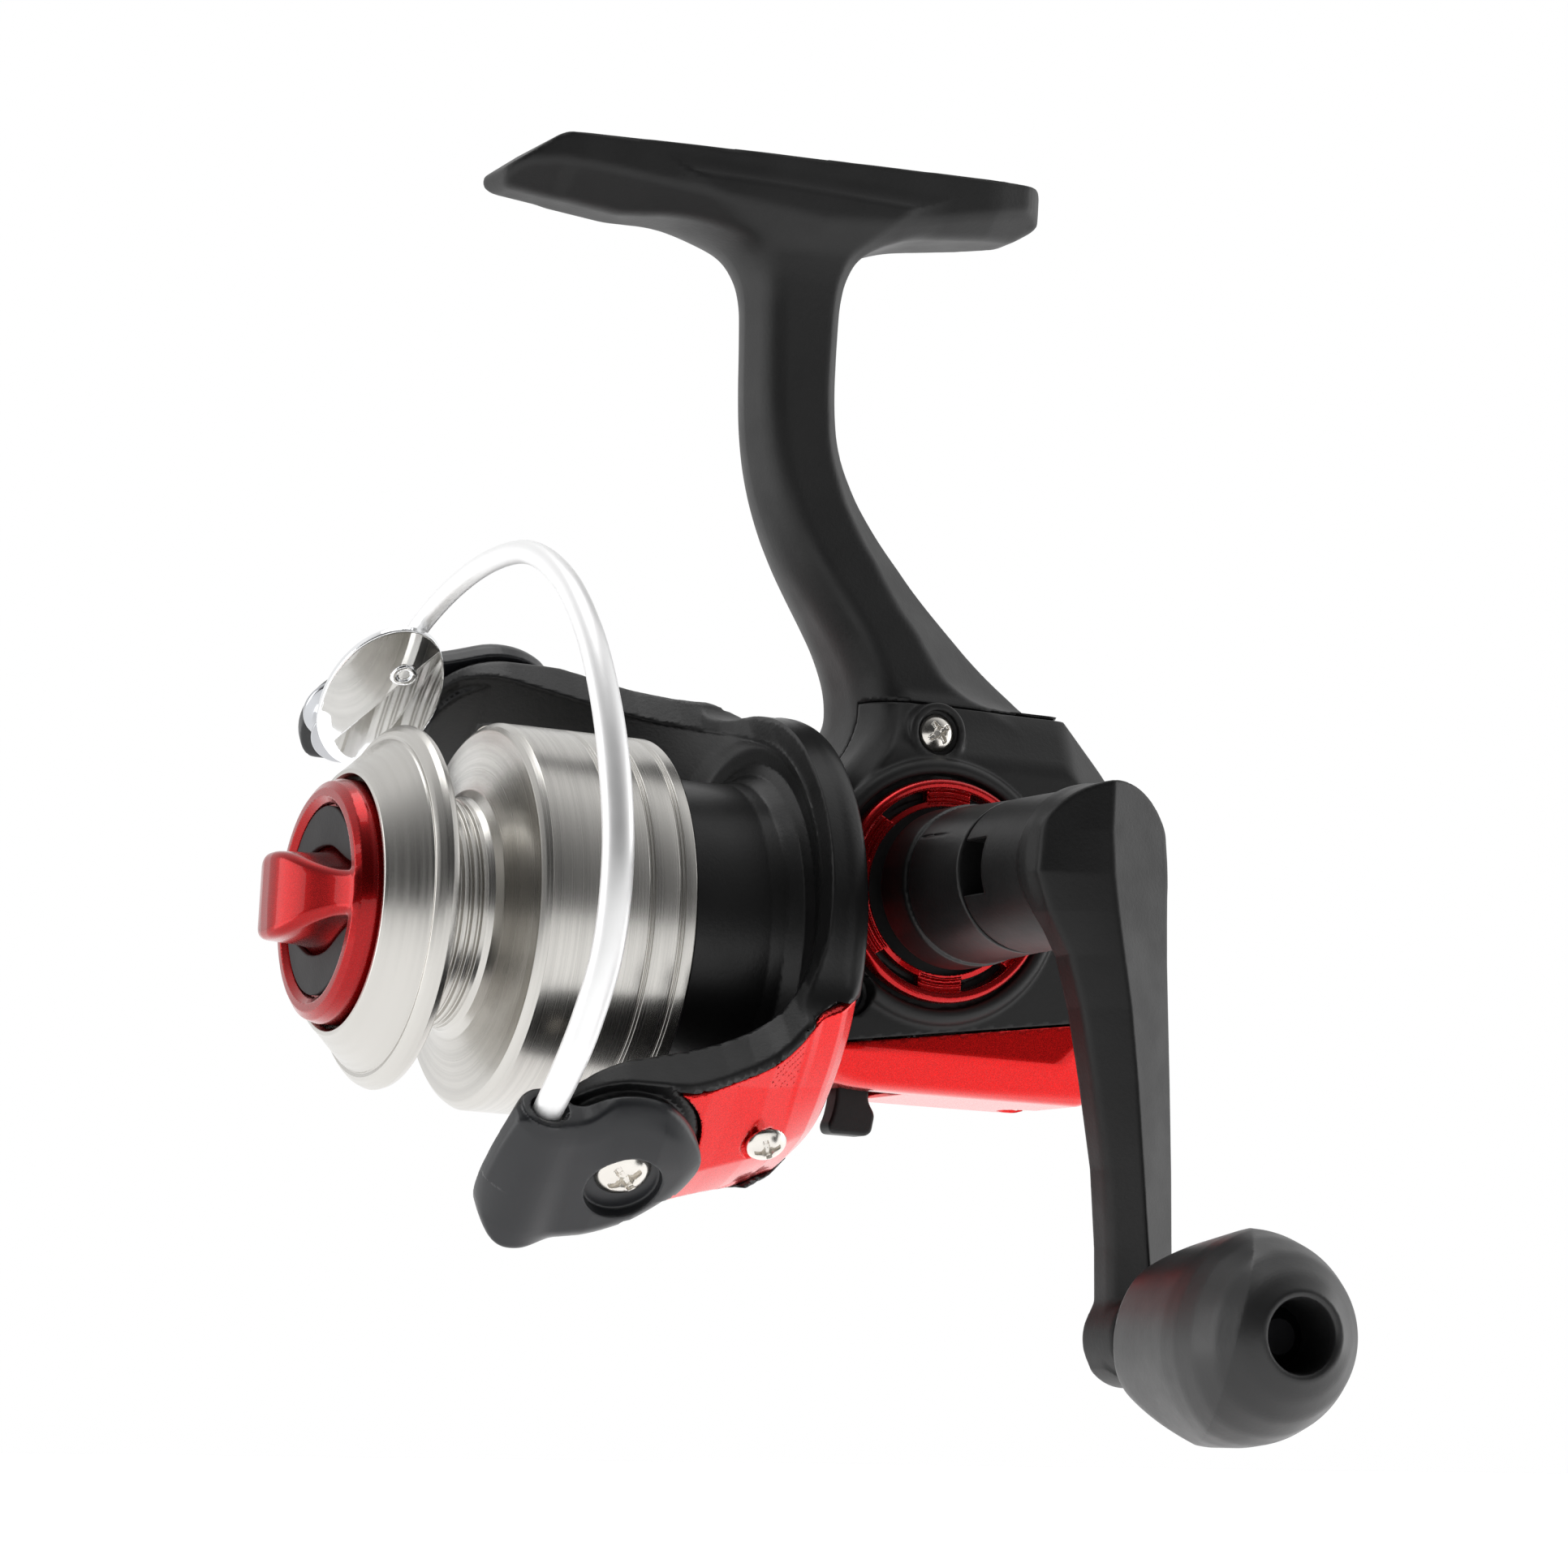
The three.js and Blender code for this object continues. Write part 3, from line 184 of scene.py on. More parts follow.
# ------------------------------------------------------------------ distance fields
def mn(a, b, k=0.0):
    if k <= 0:
        return np.minimum(a, b)
    h = np.maximum(k - np.abs(a - b), 0) / k
    return np.minimum(a, b) - h * h * k * 0.25


def mx(a, b, k=0.0):
    return -mn(-a, -b, k)


def poly(x, y, pts):
    pts = np.asarray(pts, float)
    d, s = None, np.ones(np.shape(x))
    for i in range(len(pts)):
        a, b = pts[i], pts[(i + 1) % len(pts)]
        e = b - a
        wx, wy = x - a[0], y - a[1]
        t = np.clip((wx * e[0] + wy * e[1]) / (e @ e), 0, 1)
        q = (wx - e[0] * t) ** 2 + (wy - e[1] * t) ** 2
        d = q if d is None else np.minimum(d, q)
        c1, c2, c3 = y >= a[1], y < b[1], e[0] * wy > e[1] * wx
        s = np.where((c1 & c2 & c3) | (~c1 & ~c2 & ~c3), -s, s)
    return s * np.sqrt(d)


def fillet(pts, r, n=5):
    """Polygon with each corner rounded to radius about r."""
    p, out = [np.array(q, float) for q in pts], []
    for i in range(len(p)):
        a, b, c = p[i - 1], p[i], p[(i + 1) % len(p)]
        u, v = a - b, c - b
        lu, lv = np.linalg.norm(u), np.linalg.norm(v)
        k = min(r, lu * 0.48, lv * 0.48)
        s, e = b + u / lu * k, b + v / lv * k
        for w in np.linspace(0, 1, n):
            out.append((1 - w) ** 2 * s + 2 * w * (1 - w) * b + w * w * e)
    return out


def slab(d2, w, half, r=0.3):
    """2-D distance d2 pushed half each way along w, with edges rounded by r."""
    a, b = d2 + r, np.abs(w) - half + r
    return np.minimum(np.maximum(a, b), 0) + np.hypot(np.maximum(a, 0), np.maximum(b, 0)) - r


def loc(P, o, d, u=None):
    """Coordinates (a, b, c) of P about o, with c along d."""
    d = np.asarray(d, float); d = d / np.linalg.norm(d)
    ref = np.asarray(u, float) if u is not None else (Z if abs(d[2]) < 0.9 else Y)
    x = ref - d * (ref @ d); x = x / np.linalg.norm(x)
    y = np.cross(d, x)
    q = P - np.asarray(o, float)
    return q @ x, q @ y, q @ d


def cyl(P, o, d, r, a0, a1, k=0.0):
    x, y, c = loc(P, o, d)
    return mx(np.hypot(x, y) - r, np.abs(c - (a0 + a1) / 2) - (a1 - a0) / 2, k)


def grid3(n):
    return np.stack(np.meshgrid(*[np.arange(k) for k in n], indexing="ij"), -1).reshape(-1, 3)


def evalf(f, P):
    out = np.empty(len(P))
    for i in range(0, len(P), 300000):
        out[i:i + 300000] = f(P[i:i + 300000])
    return out


def surface(f, lo, hi, h, slack=1.15):
    """Dual contour of f = 0 between lo and hi with cells of h (vertices settle on the creases), and its normals."""
    h = h * COARSE
    lo = np.array(lo, float); n = np.ceil((np.array(hi, float) - lo) / h).astype(int)
    B = 4
    b = grid3(np.ceil(n / (B * 4)).astype(int)) * 4
    s = B * 4 * h
    b = b[np.abs(evalf(f, lo + b * B * h + s / 2)) < s * 1.0]
    b = (b[:, None] + grid3((4, 4, 4))[None]).reshape(-1, 3)
    s = B * h
    b = b[np.abs(evalf(f, lo + b * B * h + s / 2)) < s * slack]
    g = grid3((B + 1,) * 3)
    P = (b[:, None] * B + g[None]).reshape(-1, 3)
    val = evalf(f, lo + P * h).reshape(-1, B + 1, B + 1, B + 1)
    c8 = np.stack([val[:, i:B + i, j:B + j, k:B + k] for i in (0, 1) for j in (0, 1) for k in (0, 1)], -1).reshape(-1, 8)
    cell = (b[:, None] * B + grid3((B,) * 3)[None]).reshape(-1, 3)
    neg = c8 < 0
    act = neg.any(1) & ~neg.all(1)
    c8, cell, neg = c8[act], cell[act], neg[act]
    size = cell.max(0) + 3
    key = ((cell[:, 0] + 1) * size[1] + cell[:, 1] + 1) * size[2] + cell[:, 2] + 1
    order = np.argsort(key); skey = key[order]
    step = [size[1] * size[2], size[2], 1]
    opp = [4, 2, 1]
    e = 0.02

    def grad(v, e):
        return np.stack([evalf(f, v + e * d) - evalf(f, v - e * d) for d in np.eye(3)], 1) / (2 * e)
    m = len(cell)
    A = np.zeros((m, 6)); rhs = np.zeros((m, 3)); mass = np.zeros((m, 3)); cnt = np.zeros(m)
    quads = []
    for a in range(3):
        bb, cc = (a + 1) % 3, (a + 2) % 3
        cross = neg[:, 0] != neg[:, opp[a]]
        ks = key[cross]
        t = c8[cross, 0] / (c8[cross, 0] - c8[cross, opp[a]])
        p = lo + cell[cross] * h
        p[:, a] += t * h
        gr = grad(p, e)
        p = p - (evalf(f, p) / np.maximum((gr ** 2).sum(1), 0.3))[:, None] * gr
        nn = gr / np.maximum(np.linalg.norm(gr, axis=1), 1e-9)[:, None]
        idx, ok = [], np.ones(len(ks), bool)
        for off in (0, step[bb], step[bb] + step[cc], step[cc]):
            q = np.clip(np.searchsorted(skey, ks - off), 0, m - 1)
            hit = skey[q] == ks - off
            ok &= hit
            c = order[q]; idx.append(c)
            c, pp, nv = c[hit], p[hit], nn[hit]
            ctr = lo + (cell[c] + 0.5) * h
            r = pp - ctr
            dd = (r * nv).sum(1)
            for k, (u, v) in enumerate(((0, 0), (0, 1), (0, 2), (1, 1), (1, 2), (2, 2))):
                A[:, k] += np.bincount(c, nv[:, u] * nv[:, v], m)
            for k in range(3):
                rhs[:, k] += np.bincount(c, nv[:, k] * dd, m)
                mass[:, k] += np.bincount(c, r[:, k], m)
            cnt += np.bincount(c, minlength=m)
        q = np.stack(idx, 1)
        flip = ~neg[cross, 0]
        q[flip] = q[flip][:, ::-1]
        quads.append(q[ok])
    quads = np.concatenate(quads)
    mass /= np.maximum(cnt, 1)[:, None]
    lam = 0.06 * np.maximum(cnt, 1)
    M = np.zeros((m, 3, 3))
    for k, (u, v) in enumerate(((0, 0), (0, 1), (0, 2), (1, 1), (1, 2), (2, 2))):
        M[:, u, v] = A[:, k]; M[:, v, u] = A[:, k]
    M[:, range(3), range(3)] += lam[:, None]
    x = np.linalg.solve(M, (rhs + lam[:, None] * mass)[..., None])[..., 0]
    x = np.clip(x, -0.62 * h, 0.62 * h)
    verts = lo + (cell + 0.5) * h + x
    gr = grad(verts, 0.3 * h)
    d = evalf(f, verts)
    stepv = -(d / np.maximum((gr ** 2).sum(1), 0.4))[:, None] * gr
    ln = np.linalg.norm(stepv, axis=1)
    verts = verts + stepv * np.minimum(1, 0.35 * h / np.maximum(ln, 1e-9))[:, None]
    gr = grad(verts, 0.35 * h)
    return verts, quads, gr / np.maximum(np.linalg.norm(gr, axis=1), 1e-9)[:, None]


def field(name, f, lo, hi, h, mat, body, reps=(), slot=None, slack=1.15):
    v, q, n = surface(f, lo, hi, h, slack)
    keep = np.unique(q)
    remap = np.full(len(v), -1); remap[keep] = np.arange(len(keep))
    return put(name, row(v[keep]), remap[q], mat, body, reps, normals=vrow(n[keep]), slot=slot)


# ------------------------------------------------------------------ materials
def nodes_of(name):
    m = bpy.data.materials.new(name)
    m.use_nodes = True
    nt = m.node_tree
    return m, nt, nt.nodes["Principled BSDF"]


def link(nt, a, b):
    nt.links.new(a, b)


def noise(nt, scale, detail=3, rough=0.5, vec=None):
    n = nt.nodes.new("ShaderNodeTexNoise")
    n.inputs["Scale"].default_value = scale
    n.inputs["Detail"].default_value = detail
    n.inputs["Roughness"].default_value = rough
    if vec is None:
        c = nt.nodes.new("ShaderNodeTexCoord"); vec = c.outputs["Object"]
    link(nt, vec, n.inputs["Vector"])
    return n.outputs["Fac"]


def ramp(nt, fac, a, b, lo=0.3, hi=0.7):
    r = nt.nodes.new("ShaderNodeMapRange")
    link(nt, fac, r.inputs["Value"])
    r.inputs["From Min"].default_value, r.inputs["From Max"].default_value = lo, hi
    r.inputs["To Min"].default_value, r.inputs["To Max"].default_value = a, b
    return r.outputs["Result"]


def mixcol(nt, fac, a, b):
    m = nt.nodes.new("ShaderNodeMix"); m.data_type = "RGBA"
    link(nt, fac, m.inputs["Factor"])
    m.inputs[6].default_value = (*a, 1); m.inputs[7].default_value = (*b, 1)
    return m.outputs[2]


def bump(nt, height, strength, dist, prev=None):
    b = nt.nodes.new("ShaderNodeBump")
    b.inputs["Strength"].default_value = strength
    b.inputs["Distance"].default_value = dist
    link(nt, height, b.inputs["Height"])
    if prev is not None:
        link(nt, prev, b.inputs["Normal"])
    return b.outputs["Normal"]


def plastic(name, a, b, rough=(0.42, 0.55), grain=0.00003, scale=2600, spec=0.5, coat=0.0):
    """Moulded plastic: fine spark-eroded grain, faint cloudiness, roughness that wanders with handling."""
    m, nt, p = nodes_of(name)
    link(nt, mixcol(nt, ramp(nt, noise(nt, 90, 3), 0, 1), a, b), p.inputs["Base Color"])
    link(nt, ramp(nt, noise(nt, 160, 4, 0.6), *rough), p.inputs["Roughness"])
    link(nt, bump(nt, noise(nt, scale, 2, 0.6), 0.55, grain), p.inputs["Normal"])
    p.inputs["Specular IOR Level"].default_value = spec
    if coat:
        p.inputs["Coat Weight"].default_value = coat
        p.inputs["Coat Roughness"].default_value = 0.25
    return m


def lacquer(name, deep, bright, flake=1.0):
    """Candy red over a metallic base: flakes that differ in tone and tilt under a clear coat."""
    m, nt, p = nodes_of(name)
    c = nt.nodes.new("ShaderNodeTexCoord")
    v = nt.nodes.new("ShaderNodeTexVoronoi"); v.inputs["Scale"].default_value = 15000
    link(nt, c.outputs["Object"], v.inputs["Vector"])
    s = nt.nodes.new("ShaderNodeSeparateColor"); link(nt, v.outputs["Color"], s.inputs[0])
    link(nt, mixcol(nt, ramp(nt, s.outputs[0], 0.3, 1, 0.2, 1.0), deep, bright), p.inputs["Base Color"])
    link(nt, ramp(nt, s.outputs[1], 0.20, 0.30, 0, 1), p.inputs["Roughness"])
    link(nt, bump(nt, s.outputs[2], 0.05 * flake, 0.000008), p.inputs["Normal"])
    p.inputs["Metallic"].default_value = 0.9
    p.inputs["Coat Weight"].default_value = 0.40
    p.inputs["Coat Roughness"].default_value = 0.04
    return m


def turned(name, col, rough=(0.16, 0.30), ani=0.75, ring=9000, depth=0.000006, mix=0.12):
    """Lathe-turned metal: fine rings about the local Z axis, stretched highlights across them."""
    m, nt, p = nodes_of(name)
    c = nt.nodes.new("ShaderNodeTexCoord")
    s = nt.nodes.new("ShaderNodeSeparateXYZ"); link(nt, c.outputs["Object"], s.inputs[0])
    comb = nt.nodes.new("ShaderNodeCombineXYZ"); link(nt, s.outputs[0], comb.inputs[0]); link(nt, s.outputs[1], comb.inputs[1])
    ln = nt.nodes.new("ShaderNodeVectorMath"); ln.operation = "LENGTH"; link(nt, comb.outputs[0], ln.inputs[0])
    ad = nt.nodes.new("ShaderNodeMath"); ad.operation = "ADD"; link(nt, ln.outputs["Value"], ad.inputs[0]); link(nt, s.outputs[2], ad.inputs[1])
    n = nt.nodes.new("ShaderNodeTexNoise"); n.noise_dimensions = "1D"
    n.inputs["Scale"].default_value = ring; n.inputs["Detail"].default_value = 4; n.inputs["Roughness"].default_value = 0.7
    link(nt, ad.outputs[0], n.inputs["W"])
    n2 = nt.nodes.new("ShaderNodeTexNoise"); n2.noise_dimensions = "1D"; n2.inputs["Scale"].default_value = ring * 0.12; n2.inputs["Detail"].default_value = 2
    link(nt, ad.outputs[0], n2.inputs["W"])
    link(nt, mixcol(nt, ramp(nt, n2.outputs["Fac"], 0, 1), [k * (1 - mix) for k in col], col), p.inputs["Base Color"])
    link(nt, ramp(nt, n.outputs["Fac"], *rough), p.inputs["Roughness"])
    link(nt, bump(nt, n.outputs["Fac"], 0.5, depth), p.inputs["Normal"])
    p.inputs["Metallic"].default_value = 1.0
    p.inputs["Anisotropic"].default_value = ani
    tg = nt.nodes.new("ShaderNodeTangent"); tg.direction_type = "RADIAL"; tg.axis = "Z"
    link(nt, tg.outputs[0], p.inputs["Tangent"])
    return m


def metal(name, col, rough=(0.12, 0.24), scale=500, depth=0.00001, ani=0.0, dark=0.08):
    m, nt, p = nodes_of(name)
    link(nt, mixcol(nt, ramp(nt, noise(nt, 220, 3), 0, 1), [k * (1 - dark) for k in col], col), p.inputs["Base Color"])
    link(nt, ramp(nt, noise(nt, scale, 4, 0.65), *rough), p.inputs["Roughness"])
    link(nt, bump(nt, noise(nt, scale, 3, 0.6), 0.3, depth), p.inputs["Normal"])
    p.inputs["Metallic"].default_value = 1.0
    return m


def cloth(name, a, b):
    m, nt, p = nodes_of(name)
    link(nt, mixcol(nt, noise(nt, 3000, 5, 0.8), a, b), p.inputs["Base Color"])
    link(nt, ramp(nt, noise(nt, 900, 2), 0.85, 0.98), p.inputs["Roughness"])
    link(nt, bump(nt, noise(nt, 5000, 4, 0.8), 0.9, 0.00012), p.inputs["Normal"])
    return m


M_BLACK = plastic("moulded_black", (0.0068, 0.0068, 0.0070), (0.0095, 0.0095, 0.0097), (0.44, 0.54), spec=0.42)
M_ROTOR = plastic("moulded_black_rotor", (0.0055, 0.0055, 0.0058), (0.0080, 0.0080, 0.0083), (0.32, 0.42), spec=0.42)
M_CHAR = plastic("moulded_charcoal", (0.013, 0.014, 0.016), (0.018, 0.019, 0.0215), (0.30, 0.38), grain=0.00001, spec=0.45)
M_RUBBER = plastic("soft_black", (0.0105, 0.0105, 0.011), (0.016, 0.016, 0.0165), (0.34, 0.46), grain=0.00002, scale=1500)
M_ARM = plastic("moulded_black_arm", (0.0042, 0.0042, 0.0044), (0.0062, 0.0062, 0.0064), (0.42, 0.52), spec=0.30)
M_INLAY = plastic("inlay_black", (0.014, 0.014, 0.015), (0.021, 0.021, 0.022), (0.62, 0.72), grain=0.00005, scale=3000)
M_RED = lacquer("candy_red", (0.44, 0.0008, 0.0012), (0.86, 0.005, 0.0045))
M_REDS = lacquer("candy_red_smooth", (0.36, 0.0010, 0.0022), (0.56, 0.003, 0.005), 0.5)
M_DIAL = lacquer("candy_red_dial", (0.24, 0.0012, 0.0020), (0.40, 0.003, 0.004), 0.5)
M_SPOOL = turned("turned_aluminium", (0.60, 0.585, 0.555), (0.17, 0.28))
M_WIRE = metal("satin_wire", (0.98, 0.98, 0.98), (0.40, 0.46), depth=0.000001, dark=0.02)
M_WIRE.node_tree.nodes["Principled BSDF"].inputs["Metallic"].default_value = 0.72
M_CHROME = metal("bright_chrome", (0.92, 0.93, 0.94), (0.03, 0.06), 300, 0.000004)
M_NICKEL = metal("nickel_screw", (0.78, 0.75, 0.70), (0.14, 0.26), 900, 0.000006)
M_STEEL = metal("plain_steel", (0.60, 0.60, 0.60), (0.22, 0.36))
M_BRASS = metal("plain_brass", (0.72, 0.55, 0.27), (0.24, 0.38))
M_BLUED = metal("blued_steel", (0.045, 0.045, 0.05), (0.35, 0.5))
M_ROLL = metal("hard_chrome_roller", (0.50, 0.51, 0.53), (0.08, 0.16), 300, 0.000002)
# near-black steel for the knob rivet: painted shade of the hole in the knob that it sits in
M_RIVET_HOLE_SHADE = metal("near_black_steel_painted_hole_shade", (0.012, 0.012, 0.013), (0.5, 0.62))
M_ZINC = metal("cast_zinc", (0.48, 0.49, 0.50), (0.42, 0.58), 1200, 0.00004)
M_FELT = cloth("pressed_felt", (0.16, 0.14, 0.12), (0.34, 0.30, 0.25))
M_NYLON = plastic("natural_nylon", (0.66, 0.63, 0.55), (0.74, 0.71, 0.64), (0.38, 0.5))

SLOT = {"black_plastic": M_BLACK, "charcoal_plastic": M_CHAR, "red_lacquer": M_RED, "spool_aluminium": M_STEEL, "wire_aluminium": M_WIRE, "bright_chrome": M_CHROME,
        "plain_steel": M_STEEL, "brass": M_BRASS, "cast_zinc": M_ZINC, "grip_rubber": M_RUBBER, "felt": M_FELT, "white_plastic": M_NYLON}
slot_of = {s["node"]: s["material_slot"] for s in frame["record"]["subparts"]}
for name, o in frame["nodes"].items():
    o.data.materials.clear()
    o.data.materials.append(SLOT[slot_of[name]])

# the rivet at the bottom of the knob's hole gets near-black steel, as painted shade of that hole
frame["nodes"]["knob_rivet"].data.materials[0] = M_RIVET_HOLE_SHADE

# ------------------------------------------------------------------ gear case, stem and foot
CASE = [[-12.0, -9.5, 1.2], [-10.6, -13.2, 1.6], [-6.5, -13.95, 1.6], [6, -14.0, 1.6], [18.5, -13.8, 2.0], [22.6, -11.2, 2.6], [25.2, -6, 3.2], [26.2, 0.5, 3.6], [25.6, 7, 4.0],
        [23.4, 13.2, 4.2], [20.4, 18.1, 4.2], [14.2, 24.8, 4.0], [-5.2, 24.8, 1.6], [-8.6, 17.8, 1.4], [-11.2, 14.6, 1.2], [-12.0, 11, 1.2]]
STEM = np.array([  # z, front y, rear y, half width
    [14.0, -6.9, 23.0, 8.6], [19.4, -6.6, 19.6, 8.2], [24.4, -6.1, 14.4, 7.5], [28.6, -7.7, 8.3, 6.9], [32.2, -10.1, 4.3, 6.4], [35.5, -12.5, 0.6, 5.9], [38.5, -14.4, -2.2, 5.5], [41.8, -16.1, -5.2, 5.15],
    [46.0, -17.6, -8.2, 4.9], [50.3, -18.5, -9.9, 4.7], [54.5, -18.9, -10.3, 4.6], [60, -19.1, -10.35, 4.6], [64.9, -19.3, -10.3, 4.8], [67.4, -20.4, -9.6, 5.1], [69.4, -22.6, -8.4, 5.5], [71.6, -27.0, -5.2, 5.9], [76, -30, -2, 6.0]])
ZS = np.linspace(14, 76, 125)
_sm = lambda col: np.convolve(np.pad(np.interp(ZS, STEM[:, 0], STEM[:, col]), 4, mode="edge"), np.ones(9) / 9, "valid")
SF, SR, SH = _sm(1), _sm(2), _sm(3)


def case_d(P, grow=0.0, k=0.5):
    x, y, z = np.abs(P[:, 0]), P[:, 1], P[:, 2]
    d = x - 11.05
    d = mx(d, (x - 11.05) * 0.876 + (z - 18.9) * 0.482, k)  # the top of both sides leans in to the stem
    for i in range(len(CASE)):
        a, b = CASE[i], CASE[(i + 1) % len(CASE)]
        e = np.array([b[0] - a[0], b[1] - a[1]]); L = np.linalg.norm(e); nrm = np.array([e[1], -e[0]]) / L
        dn = (y - a[0]) * nrm[0] + (z - a[1]) * nrm[1]
        w = np.clip(((y - a[0]) * e[0] + (z - a[1]) * e[1]) / (L * L), 0, 1)
        bev = (a[2] + (b[2] - a[2]) * w) / 3.4
        d = mx(d, mx(dn, (dn + (x - 7.65) * bev) / np.sqrt(1 + bev * bev), k), k)
    return d + grow


def stem_d(P):
    x, y, z = np.abs(P[:, 0]), P[:, 1], P[:, 2]
    zz = z - 0.03 * (y + 15)
    f, r, h = np.interp(zz, ZS, SF), np.interp(zz, ZS, SR), np.interp(zz, ZS, SH)
    sf, sr = np.interp(zz, ZS, np.gradient(SF, ZS)), np.interp(zz, ZS, np.gradient(SR, ZS))
    df, dr = (f - y) / np.sqrt(1 + sf ** 2), (y - r) / np.sqrt(1 + sr ** 2)
    ds = x - h
    c = np.interp(zz, [24, 30, 38, 46, 52, 60], [6.2, 5.0, 3.2, 1.9, 1.3, 1.2])  # width of the rear facet
    cham = ds * 0.66 + (dr + c) * 0.75
    front = ds * 0.45 + (df + 1.5) * 0.893
    d = mx(mx(ds, df, 1.6), front, 1.2)
    d = mx(mx(d, dr, 0.5), cham, 0.35)
    return mx(mx(d, z - 73.0), 12.0 - z)


FOOT = fillet([[-46.85, 72.6], [-46.3, 71.0], [-34, 69.9], [-27.0, 70.5], [-15, 71.1], [-5.2, 71.3], [9.0, 73.3], [11.2, 74.8], [11.55, 78.1], [10.7, 78.6869], [-41.6, 76.5131]], 0.8)
PLAN = fillet([[-46.9, -2.6], [-45.4, -4.8], [-40, -6.2], [-20, -6.6], [5, -6.2], [9.6, -5.2], [11.6, -2.6], [11.6, 2.6], [9.6, 5.2], [5, 6.2], [-20, 6.6], [-40, 6.2], [-45.4, 4.8], [-46.9, 2.6]], 1.2)


def foot_d(P):
    x, y, z = P[:, 0], P[:, 1], P[:, 2]
    side = poly(y, z, FOOT)
    plan = poly(y, x, PLAN)
    zc = np.interp(y, [-46, -41.6, -22, -14, -5, 11], [73.0, 73.6, 72.3, 71.6, 72.6, 76.2])
    edge = np.interp(y, [-46, -40, -20, 5, 10], [4.6, 6.2, 6.6, 6.2, 5.0])
    under = ((np.abs(x) - edge) * 0.64 + (zc - z) * 0.77)
    d = mx(mx(side, plan, 0.25), under, 0.6)
    return d


def outer_d(P):
    """The outside of the whole housing: case, stem and foot run into each other."""
    d = mn(case_d(P), stem_d(P), 1.6)
    return mn(d, foot_d(P), 3.2)


def cavity_d(P):
    return mx(mx(case_d(P, 1.7), P[:, 2] - 22.2), np.abs(P[:, 0]) - 9.3)


def split_z(y):
    return -8.4 + 0.15 * y


BOSS = [(-0.6, 21.3), (19.2, 8.2), (-8.9, -5.1)]


def frame_d(P):
    x, y, z = P[:, 0], P[:, 1], P[:, 2]
    shell = mx(outer_d(P), -cavity_d(P))
    keep = np.minimum(x - 3.42, 24.42 - z)  # the side cover takes x > 3.5 below z 24.3
    d = mx(shell, keep)
    d = mx(d, (split_z(y) + 0.12 - z) * 0.988)
    seat = cyl(P, (0, 0, HZ), X, 5.6, -10.3, -7.3)
    d = mn(d, seat)
    d = mn(d, mx(cyl(P, (0, 0, 0), Y, 7.0, -12.7, -10.4), np.maximum(x - 3.42, split_z(y) + 0.12 - z)))
    for by, bz in BOSS:
        d = mn(d, cyl(P, (0, by, bz), X, 1.9, -10, 3.3))
    d = mx(d, -cyl(P, (0, 0, HZ), X, 4.24, -9.4, -5))
    d = mx(d, -cyl(P, (0, 0, HZ), X, 2.9, -13, -5, 0.3))
    d = mx(d, -cyl(P, (0, 0, 0), Y, 5.1, -13.5, -8.4))
    d = mx(d, -cyl(P, (0, 0, HZ), X, 10.6, 1.9, 6.9))
    d = mx(d, -cyl(P, (0, 0, -7.8), Y, 1.5, -15, -6.4))
    return d


def cover_d(P):
    x, y, z = P[:, 0], P[:, 1], P[:, 2]
    shell = outer_d(P)
    rr = np.hypot(y, z - HZ)
    shell = mn(shell, np.hypot(rr - 12.15, (x - 11.0) * 0.8) - 0.95, 0.5)  # raised rim round the ring
    shell = mx(shell, -mx(np.abs(rr - 10.35) - 1.15, 10.75 - x, 0.15), 0.1)  # seat of the red ring
    for by, bz in BOSS:  # flat collar round each screw
        shell = mn(shell, mx(np.hypot(y - by, z - bz) - 3.0, np.abs(x - 9.0) - 1.75, 0.4), 0.4)
    d = mx(shell, -cavity_d(P))
    d = mn(d, cyl(P, (0, 0, HZ), X, 5.6, 7.1, 10.5))
    d = mx(mx(d, 3.58 - x), (split_z(y) + 0.12 - z) * 0.988)
    d = mx(d, z - 24.28)
    for by, bz in BOSS:
        d = mx(d, -np.minimum(np.hypot(y - by, z - bz) - 1.05, mx(np.hypot(y - by, z - bz) - 2.25, 10.05 - x)))
    d = mx(d, -cyl(P, (0, 0, HZ), X, 4.24, 6.5, 10.2))
    d = mx(d, -cyl(P, (0, 0, HZ), X, 2.9, 6, 14, 0.2))
    d = mx(d, -cyl(P, (0, 0, 0), Y, 7.35, -13, -7))
    return mx(d, -12.05 - y)


def lower_d(P):
    x, y, z = P[:, 0], P[:, 1], P[:, 2]
    c = case_d(P, 0.0, 0.35)
    # two shallow facets on the side
    c = mx(c, (np.abs(x) - 10.9) * 0.94 + (y - 17.2) * 0.24 - (z + 8.0) * 0.24, 0.25)
    c = mx(c, (np.abs(x) - 9.9) * 0.80 - (z + 12.0) * 0.60, 0.25)
    d = mx(mx(c, -cavity_d(P)), (z - split_z(y) + 0.12) * 0.988)
    d = mx(d, -mx(np.abs(x - 1.7) - 3.9, np.abs(y + 3.55) - 3.35, 0.4))
    d = mx(d, -cyl(P, (-4, 17.6, 0), Z, 1.1, -20, -8))
    return mx(d, -cyl(P, (-4, 17.6, 0), Z, 2.35, -20, -12.9))


field("stem_and_case", frame_d, (-13, -49, -16), (13, 29, 80), 0.42, M_BLACK, "reel_body", ["main_frame"], "black_plastic")
field("cover", cover_d, (2, -14, -16), (15, 29, 26), 0.30, M_BLACK, "reel_body", ["side_cover"], "black_plastic")
field("belly", lower_d, (-13, -14, -16), (13, 29, 0), 0.32, M_RED, "reel_body", ["lower_cover"], "red_lacquer")


